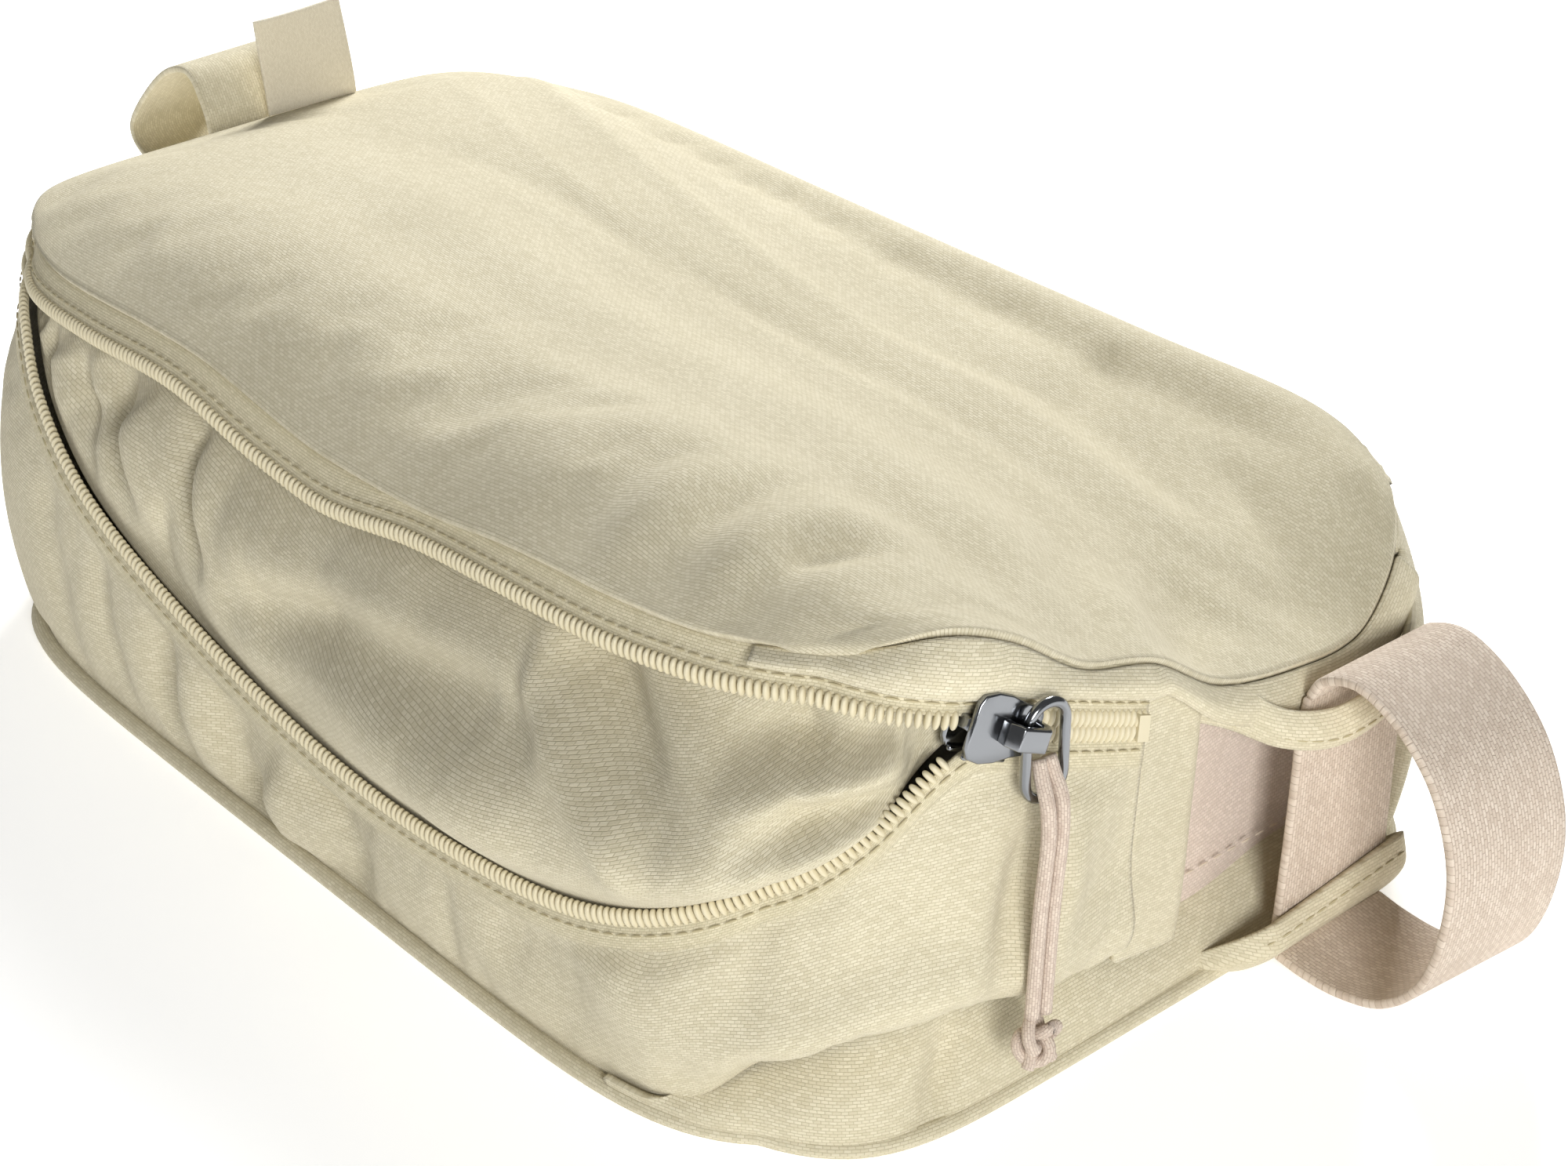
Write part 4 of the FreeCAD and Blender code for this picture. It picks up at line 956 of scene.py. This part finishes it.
# A slider: two plates joined by side walls and a wedge, and the bridge that the ring hangs from.
def sliderBody(name, place, body):
    size = sliderSize
    shaped = bmesh.new()
    face = size["channel"] + size["plate"]
    plateShape(shaped, size["channel"], face)
    plateShape(shaped, -face, -size["channel"])
    for side in (-1, 1):
        edges = sorted((side * 4.2, side * 5.1))
        blockShape(shaped, (-5.2, edges[0], size["channel"] - 0.7), (2.6, edges[1], size["channel"] + 0.1))
        blockShape(shaped, (-5.2, edges[0], -size["channel"] - 0.1), (2.6, edges[1], -size["channel"] + 0.7))
    blockShape(shaped, (-6.0, -1.0, -size["channel"]), (-3.2, 1.0, size["channel"]))
    bridge = [(size["noseFrom"], face - 0.1), (size["noseFrom"] - 0.2, face + 1.6),
              (size["noseFrom"] + 0.8, face + size["noseGap"] + size["nose"]),
              (size["noseTo"] - 1.6, face + size["noseGap"] + size["nose"] + 0.2),
              (size["noseTo"] - 0.1, face + 1.9), (size["noseTo"] - 0.2, face - 0.1)]
    inner = [(size["noseFrom"] + 1.3, face - 0.1), (size["noseFrom"] + 1.2, face + 1.5),
             (size["noseFrom"] + 1.7, face + size["noseGap"]),
             (size["noseTo"] - 2.2, face + size["noseGap"] + 0.1),
             (size["noseTo"] - 1.4, face + 1.6), (size["noseTo"] - 1.4, face - 0.1)]
    half = size["noseWidth"] / 2
    outerLow, innerLow, outerHigh, innerHigh = [
        [shaped.verts.new((x * mm, side * half * mm, z * mm)) for x, z in line]
        for side in (-1, 1) for line in (bridge, inner)]
    for i in range(len(bridge) - 1):
        shaped.faces.new([outerLow[i], outerLow[i + 1], innerLow[i + 1], innerLow[i]])
        shaped.faces.new([outerHigh[i + 1], outerHigh[i], innerHigh[i], innerHigh[i + 1]])
        shaped.faces.new([outerLow[i + 1], outerLow[i], outerHigh[i], outerHigh[i + 1]])
        shaped.faces.new([innerLow[i], innerLow[i + 1], innerHigh[i + 1], innerHigh[i]])
    for end in (0, -1):
        shaped.faces.new([outerLow[end], innerLow[end], innerHigh[end], outerHigh[end]])
    bmesh.ops.recalc_face_normals(shaped, faces=shaped.faces)
    mesh = bpy.data.meshes.new(name)
    shaped.to_mesh(mesh)
    shaped.free()
    mesh.materials.append(nickelPlate)
    obj = bpy.data.objects.new(name, mesh)
    scene.collection.objects.link(obj)
    edge = obj.modifiers.new("worn edges", "BEVEL")
    edge.width = 0.32 * mm
    edge.segments = 3
    edge.limit_method = "ANGLE"
    bake(obj)
    obj.data.shade_smooth()
    obj.data.transform(place)
    done(obj, body, "nickel", name)


# A placement, in metres, whose x is xAxis and whose z is outAxis.
def placeAt(origin, xAxis, outAxis):
    x = Vector(xAxis).normalized()
    z = Vector(outAxis)
    z = (z - x * z.dot(x)).normalized()
    y = z.cross(x)
    turn = Matrix((x, y, z)).transposed().to_4x4()
    return Matrix.Translation(Vector(origin) * mm) @ turn


# A round wire along a smooth closed line, in metres, as a mesh.
def wireLoop(name, points, radius, material):
    curve = bpy.data.curves.new(name, "CURVE")
    curve.dimensions = "3D"
    spline = curve.splines.new("NURBS")
    spline.points.add(len(points) - 1)
    for point, at in zip(spline.points, points):
        point.co = (*at, 1.0)
    spline.order_u = 3
    spline.use_cyclic_u = True
    spline.resolution_u = 6
    curve.bevel_depth = radius
    curve.bevel_resolution = 4
    curve.materials.append(material)
    drawn = bpy.data.objects.new(name, curve)
    scene.collection.objects.link(drawn)
    graph = bpy.context.evaluated_depsgraph_get()
    mesh = bpy.data.meshes.new_from_object(drawn.evaluated_get(graph))
    bpy.data.objects.remove(drawn)
    obj = bpy.data.objects.new(name, mesh)
    scene.collection.objects.link(obj)
    obj.data.shade_smooth()
    return obj


# A round tube along points, in metres, with its own map in mm, closed at both ends.
def strand(name, points, radius, along, material):
    points = [Vector(p) for p in points]
    side = Vector(along).normalized()
    rings = 12

    def pointAt(s, t):
        i = min(int(round(s * (len(points) - 1))), len(points) - 1)
        ahead = (points[min(i + 1, len(points) - 1)] - points[max(i - 1, 0)]).normalized()
        across = (side - ahead * side.dot(ahead)).normalized()
        up = ahead.cross(across)
        turn = 2 * math.pi * t
        return np.array(points[i] + (across * math.cos(turn) + up * math.sin(turn)) * radius) / mm

    obj = grid(name, len(points) - 1, rings, pointAt, material)
    shaped = bmesh.new()
    shaped.from_mesh(obj.data)
    bmesh.ops.remove_doubles(shaped, verts=shaped.verts, dist=0.01 * mm)
    bmesh.ops.holes_fill(shaped, edges=[e for e in shaped.edges if e.is_boundary], sides=rings + 1)
    bmesh.ops.recalc_face_normals(shaped, faces=shaped.faces)
    shaped.to_mesh(obj.data)
    shaped.free()
    obj.data.shade_smooth()
    return obj


# Even points on a smooth line through a few points.
def smoothPath(points, count):
    points = [np.array(p, float) for p in points]
    ends = [2 * points[0] - points[1]] + points + [2 * points[-1] - points[-2]]
    fine = []
    for a, b, c, d in zip(ends, ends[1:], ends[2:], ends[3:]):
        for t in np.linspace(0, 1, 24, endpoint=False):
            fine.append(0.5 * (2 * b + (c - a) * t + (2 * a - 5 * b + 4 * c - d) * t * t
                               + (3 * b - a - 3 * c + d) * t ** 3))
    fine = np.array(fine + [points[-1]])
    along = distances(fine)
    at = np.linspace(0, along[-1], count)
    return np.stack([np.interp(at, along, fine[:, k]) for k in range(3)], axis=1)


# Adds the second mesh to the first.
def join(first, second):
    shaped = bmesh.new()
    shaped.from_mesh(first.data)
    shaped.from_mesh(second.data)
    shaped.to_mesh(first.data)
    shaped.free()
    bpy.data.objects.remove(second)


# The ring, its cord folded through it, and the knot. The ring leans by lean degrees, and the knot hangs
# drop mm below the ring and hang mm in front of its foot.
def puller(prefix, slider, outwards, lean, drop, hang):
    size = {"overPlate": 1.2, "wireOffset": 2.7, "wire": 0.8, "width": 6.6, "legs": 8.5, "topLift": 0.6,
            "cord": 2.2, "cordGap": 0.1, "stand": 3.9, "knotCord": 1.9}
    words = f"{prefix}_zip"
    up = Vector((0, 0, 1))
    lift = sliderSize["channel"] + sliderSize["plate"] + size["overPlate"]
    origin = slider @ (Vector((size["wireOffset"], 0, lift)) * mm)
    level = Vector((outwards.x, outwards.y, 0))
    flat = level.normalized()
    turn = math.radians(lean)
    ringPlace = placeAt(origin / mm, up.cross(flat), flat * math.cos(turn) + up * math.sin(turn))
    half, top = size["width"] / 2, size["topLift"]
    bottom = top - size["legs"]
    arc = np.linspace(0.3, math.pi - 0.3, 9)
    loop = [(0, bottom + (top - bottom) * k / 5, 0) for k in range(6)]
    loop += [(half - half * math.cos(a), top + half * math.sin(a), 0) for a in arc]
    loop += [(size["width"], top + (bottom - top) * k / 5, 0) for k in range(6)]
    loop += [(half + half * math.cos(a), bottom - half * math.sin(a), 0) for a in arc]
    wire = [ringPlace @ (Vector(p) * mm) for p in loop]
    ring = wireLoop(f"{words}_ring", wire, size["wire"] * mm, nickelPlate)
    done(ring, f"{prefix}_ring", "nickel", f"{prefix}_zip_ring")

    foot = ringPlace @ (Vector((half, bottom - half, 0)) * mm)
    along = ringPlace.to_3x3() @ Vector((1, 0, 0))
    cordPlace = placeAt(foot / mm, along, level)
    strands = []
    for sign, label in ((-1, "left"), (1, "right")):
        side = sign * (size["cord"] + size["cordGap"]) / 2
        rough = [(side * 0.75, 6.2, -0.3), (side * 0.95, 3.6, 0.9), (side * 1.1, 1.2, 2.2),
                 (side * 1.05, -1.2, 2.7), (side, -6.0, 0.6 * size["stand"] + 0.4 * hang),
                 (side, -0.5 * drop, 0.25 * size["stand"] + 0.75 * hang), (side, -drop, hang)]
        path = [cordPlace @ (Vector(p) * mm) for p in smoothPath(rough, 60)]
        cordPiece = strand(f"{words}_pull_cord_{label}", path, size["cord"] / 2 * mm, along, cordBraid)
        done(cordPiece, f"{prefix}_pull", "cord", f"{prefix}_zip_pull_cord_{label}")
        strands.append((cordPiece, path))

    def knotPoint(k):
        a = 2 * math.pi * k
        grow = 2.0 + 1.0 * math.cos(3 * a)
        return Vector((grow * math.cos(2 * a) * 1.05, grow * math.sin(2 * a) * 1.25 - drop - 4.3,
                       1.5 * math.sin(3 * a) + hang)) * mm

    thick = size["knotCord"] / 2 * mm  # pulled tight, the cord is thinner in its knot
    turns = [cordPlace @ knotPoint(k / 90) for k in range(90)]
    knot = strand(f"{words}_pull_knot", turns, thick, along, cordBraid)
    for sign in (-1, 1):
        lineOut = [(sign * 1.0, -drop - 5.0, hang), (sign * 1.6, -drop - 7.0, hang + 0.6),
                   (sign * 2.2, -drop - 8.3, hang + 0.8)]
        path = [cordPlace @ (Vector(p) * mm) for p in smoothPath(lineOut, 12)]
        join(knot, strand(f"{words}_cord_end", path, thick, along, cordBraid))
    done(knot, f"{prefix}_pull", "cord", f"{prefix}_zip_pull_knot")
    for cordPiece, path in strands:
        length = sum((b - a).length for a, b in zip(path, path[1:]))
        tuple(path[0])


# The gusset zip's slider, at the upper end of the closed stretch.
def gussetPuller():
    size = {"sunk": -0.3, "drop": 36.0, "hang": 1.3}
    here = Vector(wallPoint(closeStart, shape["closeHeight"], size["sunk"]))
    there = Vector(wallPoint(closeEnd, closeHeight(closeEnd), size["sunk"]))
    above = Vector(wallPoint(closeStart, shape["closeHeight"] + 3, size["sunk"])) - here
    ahead = Vector(wallPoint(closeStart + 0.06, shape["closeHeight"])) \
        - Vector(wallPoint(closeStart - 0.04, shape["closeHeight"]))
    ahead.z = (there - here).z / (there - here).y * ahead.y
    place = placeAt(here, ahead, ahead.cross(above))
    sliderBody("gusset_zip_slider", place, "gusset_slider")
    puller("gusset", place, place.to_3x3() @ Vector((0, 0, 1)), 0.0, size["drop"], size["hang"])


# The main zip's slider, parked against the stop at its far end.
def mainPuller():
    size = {"stop": 0.02, "slider": 12.4, "clear": 0.6, "sunk": -0.3, "lean": 24.0, "drop": 30.0, "hang": 4.2}
    middle = mainLine["middle"]
    parked = wallPoint(mainLine["end"] - size["stop"], middle)[0] + size["slider"] / 2 + size["clear"]
    best = min(np.linspace(1, 2, 801), key=lambda p: abs(wallPoint(p, middle)[0] - parked))
    here = Vector(wallPoint(best, middle, size["sunk"]))
    above = Vector(wallPoint(best, middle + 3, size["sunk"])) - here
    ahead = Vector(wallPoint(best - 0.03, middle)) - Vector(wallPoint(best + 0.03, middle))
    out = Vector((0, 1, 0)) - above * (above.y / above.length_squared)
    place = placeAt(here, ahead, out)
    sliderBody("main_zip_slider", place, "main_slider")
    puller("main", place, Vector((0, 1, 0)), size["lean"], size["drop"], size["hang"])


gussetPuller()
mainPuller()
print("sliders and cords made")


# Strap, handle, keeper, loop and label

# A strip of cloth along (x, z) points, between two y values. twist gives how far each point is moved, from
# its shares along and across.
def ribbon(name, path, low, high, thick, material, columns, twist):
    route = smoothPath([(x, 0, z) for x, z in path], columns)

    def pointAt(s, t):
        i = min(int(round(s * (len(route) - 1))), len(route) - 1)
        x, _, z = route[i]
        y = low + (high - low) * t
        dx, dy, dz = twist(s, t)
        return (x + dx, y + dy, z + dz)

    strip = grid(name, len(route) - 1, 10, pointAt, material)
    thicken(strip, thick, 0.0)
    edge = strip.modifiers.new("soft edges", "BEVEL")
    edge.width = 0.3 * thick * mm
    edge.segments = 2
    edge.limit_method = "ANGLE"
    edge.angle_limit = math.radians(50)
    bake(strip)
    strip.data.shade_smooth()
    return strip


# The strap down the recess, and the webbing handle that bows out over it.
def handle():
    size = {"side": 31.5, "width": 25.0, "thick": 1.5}
    low, high = size["side"] - size["width"] / 2, size["side"] + size["width"] / 2
    strapLine = [(122.6, 3.6), (122.9, 18), (123.3, 34), (123.7, 44), (124.6, 50.5)]
    strap = ribbon("end_strap", strapLine, low, high, size["thick"], webbingCloth, 50,
                   lambda s, t: (0.5 * math.sin(3 * s + 2 * t), 0, 0))
    done(strap, "pouch", "webbing", "end_strap")
    line = [(124.9, 50.8), (127.6, 54.6), (134.0, 56.2), (142, 52.5), (149, 45), (153.2, 34), (153.4, 22.5),
            (150.5, 11.5), (144, 4.6), (136, 2.3), (129, 2.3), (123.4, 3.2)]

    def sway(s, t):
        lift = math.sin(math.pi * s)
        return (1.6 * lift * (t - 0.5), 0.9 * lift * math.sin(2.2 * s), 1.2 * lift * (0.5 - t))

    loop = ribbon("end_handle", line, low, high, size["thick"], webbingCloth, 150, sway)
    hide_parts("end_handle", "end_handle_upper_root", "end_handle_lower_root")
    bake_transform(loop)


# The cloth keeper: a hemmed band from the end seam, dipping across the webbing and back.
def keeper():
    size = {"thick": 1.2, "roll": 0.9, "hem": 0.24, "columns": 70, "stitchOut": 1.3, "stitchPitch": 2.7}
    upper = smoothPath([(118.4, -1, 58.6), (119.8, 7, 56.6), (123.6, 13.5, 51.0), (126.6, 21, 48.9),
                        (127.2, 29, 48.8), (126.2, 36, 49.4), (122.6, 43.5, 51.4), (118.8, 48.5, 54)],
                       size["columns"] + 1)
    lower = smoothPath([(118.4, 1, 52.4), (120.2, 8.5, 48.2), (124.3, 14.5, 44.8), (127.2, 21.5, 43.2),
                        (127.8, 29, 43.3), (126.8, 36, 44.2), (123.0, 43.5, 46.8), (118.8, 48.5, 50)],
                       size["columns"] + 1)

    def pointAt(s, t):
        i = min(int(round(s * size["columns"])), size["columns"])
        roll = size["roll"] * math.sin(math.pi * t)
        x, y, z = lower[i] + (upper[i] - lower[i]) * t
        return (x + roll, y, z)

    band = grid("strap_keeper_band", size["columns"], 8, pointAt, bodyCloth)
    smooth(band)
    thicken(band, size["thick"], 1.0)
    done(band, "pouch", "body_fabric", "strap_keeper")
    hem = np.array([pointAt(s, size["hem"]) for s in np.linspace(0.03, 0.97, 70)])
    line = (hem + (size["stitchOut"], 0, 0), [(1, 0, 0)] * len(hem))
    stitches = repeatAlong("keeper_stitches", [line], stitchPiece, seamShadeThread, size["stitchPitch"])
    done(stitches, "pouch", "body_fabric")


# The loop of the pouch's own cloth at the far end.
def farLoop():
    size = {"half": 10.0, "thick": 1.3, "reach": 33.5, "rise": 14.0, "root": -123.9, "middle": 67.0}
    reach, rise, root, middle = size["reach"], size["rise"], size["root"], size["middle"]
    line = [(root, middle + size["thick"]), (root - 0.1 * reach, middle + 0.62 * rise),
            (root - 0.28 * reach, middle + rise), (root - 0.62 * reach, middle + 0.66 * rise),
            (root - reach, middle - 0.3 * rise), (root - 0.8 * reach, middle - 0.7 * rise),
            (root - 0.4 * reach, middle - 0.55 * rise), (root, middle - size["thick"])]
    loop = ribbon("far_loop", line, -size["half"], size["half"], size["thick"], bodyCloth, 90,
                  lambda s, t: (0, 1.2 * math.sin(math.pi * s), 0.8 * math.sin(math.pi * s) * (t - 0.5)))
    done(loop, "far_loop", "body_fabric", "far_loop")


# The blank label, sewn in above the loop.
def sideLabel():
    size = {"middle": 12.0, "half": 10.0, "root": -122.5, "foot": 72.0, "height": 19.0, "lean": 1.5,
            "thick": 0.9}
    low, high = size["middle"] - size["half"], size["middle"] + size["half"]
    line = [(size["root"], size["foot"]), (size["root"] - 0.2, size["foot"] + 0.3 * size["height"]),
            (size["root"] - size["lean"], size["foot"] + size["height"])]
    label = ribbon("side_label", line, low, high, size["thick"], labelSatin, 24,
                   lambda s, t: (0.8 * math.sin(3.0 * t + s) * s, -1.2 * s, 0))
    done(label, "label", "label", "side_label")


# The base's hem, which covers the foot of the strap.
def strapFoot():
    size = {"thick": 1.2, "wall": 114.5, "low": 2.0, "seam": 1.5, "height": 9.0, "stand": 5.4, "from": 4.0,
            "to": 56.0, "stitchOut": 1.3, "stitchPitch": 2.7}

    def pointAt(s, t):
        y = size["from"] + (size["to"] - size["from"]) * s
        bump = smoothStep(5, 17, y) * (1 - smoothStep(45, 55, y))
        out = 4.4 + size["stand"] * min(1.0, 0.35 + 1.1 * t)
        x = size["wall"] + 1.2 * math.sin(math.pi * t) + out * bump
        return (x, y, size["low"] + (size["seam"] + size["height"] * bump) * t + 0.12 * (y - 30) * t * bump)

    hem = grid("strap_foot_hem", 60, 10, pointAt, bodyCloth)
    smooth(hem)
    thicken(hem, size["thick"], 1.0)
    done(hem, "pouch", "body_fabric")
    row = np.array([pointAt(s, 0.8) for s in np.linspace(0.2, 0.84, 60)])
    line = (row + (size["stitchOut"], 0, 0), [(1, 0, 0)] * len(row))
    stitches = repeatAlong("strap_foot_stitches", [line], stitchPiece, seamShadeThread, size["stitchPitch"])
    done(stitches, "pouch", "body_fabric")


handle()
keeper()
strapFoot()
farLoop()
sideLabel()
print("strap, handle, keeper, loop and label made")


# Pieces that keep the frame's own shape

for node, material in (("base_board", boardSheet), ("gusset_zip_end_stop", coilPlastic),
                       ("main_zip_far_end_stop", nickelPlate), ("main_zip_handle_end_stop", nickelPlate)):
    piece = frame["nodes"][node]
    piece.data.materials.clear()
    piece.data.materials.append(material)
for piece in (stitchPiece, toothPiece):
    bpy.data.objects.remove(piece)


# Floor, light and camera

def stage():
    half = 3.0  # metres
    mesh = bpy.data.meshes.new("floor")
    corners = [(-half, -half, 0), (half, -half, 0), (half, half, 0), (-half, half, 0)]
    mesh.from_pydata(corners, [], [(0, 1, 2, 3)])
    floor = bpy.data.objects.new("floor", mesh)
    scene.collection.objects.link(floor)
    material, _, shader = newMaterial("pale floor")
    shader.inputs["Base Color"].default_value = (0.93, 0.93, 0.92, 1)
    shader.inputs["Roughness"].default_value = 0.9
    shader.inputs["Emission Color"].default_value = (1, 1, 1, 1)
    shader.inputs["Emission Strength"].default_value = 0.5
    floor.data.materials.append(material)


# A square soft light, in metres and watts.
def softBox(name, place, target, width, power):
    light = bpy.data.lights.new(name, "AREA")
    light.shape = "RECTANGLE"
    light.size = width
    light.size_y = width
    light.energy = power
    obj = bpy.data.objects.new(name, light)
    scene.collection.objects.link(obj)
    obj.location = place
    obj.rotation_euler = (Vector(target) - Vector(place)).to_track_quat("-Z", "Y").to_euler()


# White where the camera sees it, and a dim fill on the pouch.
def world():
    sky = bpy.data.worlds.new("studio")
    scene.world = sky
    sky.use_nodes = True
    tree = sky.node_tree
    tree.nodes.clear()
    path = tree.nodes.new("ShaderNodeLightPath")
    seen = addNode(tree, "ShaderNodeBackground", Strength=1.0)
    seen.inputs["Color"].default_value = (1, 1, 1, 1)
    fill = addNode(tree, "ShaderNodeBackground", Strength=0.14)
    fill.inputs["Color"].default_value = (1, 1, 1, 1)
    mixed = addNode(tree, "ShaderNodeMixShader", Fac=path.outputs["Is Camera Ray"])
    tree.links.new(fill.outputs[0], mixed.inputs[1])
    tree.links.new(seen.outputs[0], mixed.inputs[2])
    result = tree.nodes.new("ShaderNodeOutputWorld")
    tree.links.new(mixed.outputs[0], result.inputs["Surface"])


stage()
world()
softBox("back key", (-0.5, 0.6, 0.62), (0, 0.03, 0.05), 0.4, 14)
softBox("front right", (0.85, -0.42, 0.36), (0.05, -0.02, 0.04), 0.3, 6.0)
softBox("front left", (-0.5, -0.8, 0.6), (0, -0.03, 0.04), 0.6, 0.5)


# The view from the handle end, over the gusset side.
def camera():
    size = {"azimuth": 48.9, "elevation": 30.2, "distance": 498.3, "aim": (37.5, -6.4, 41.7), "lens": 70.8}
    a, e = math.radians(size["azimuth"]), math.radians(size["elevation"])
    back = Vector((math.sin(a) * math.cos(e), -math.cos(a) * math.cos(e), math.sin(e)))
    data = bpy.data.cameras.new("camera")
    data.lens = size["lens"]
    data.sensor_width = 36
    data.clip_start = 0.01
    obj = bpy.data.objects.new("camera", data)
    scene.collection.objects.link(obj)
    obj.location = (Vector(size["aim"]) + back * size["distance"]) * mm
    obj.rotation_euler = (-back).to_track_quat("-Z", "Y").to_euler()
    scene.camera = obj


camera()
scene.view_settings.view_transform = "Standard"
print("stage made")
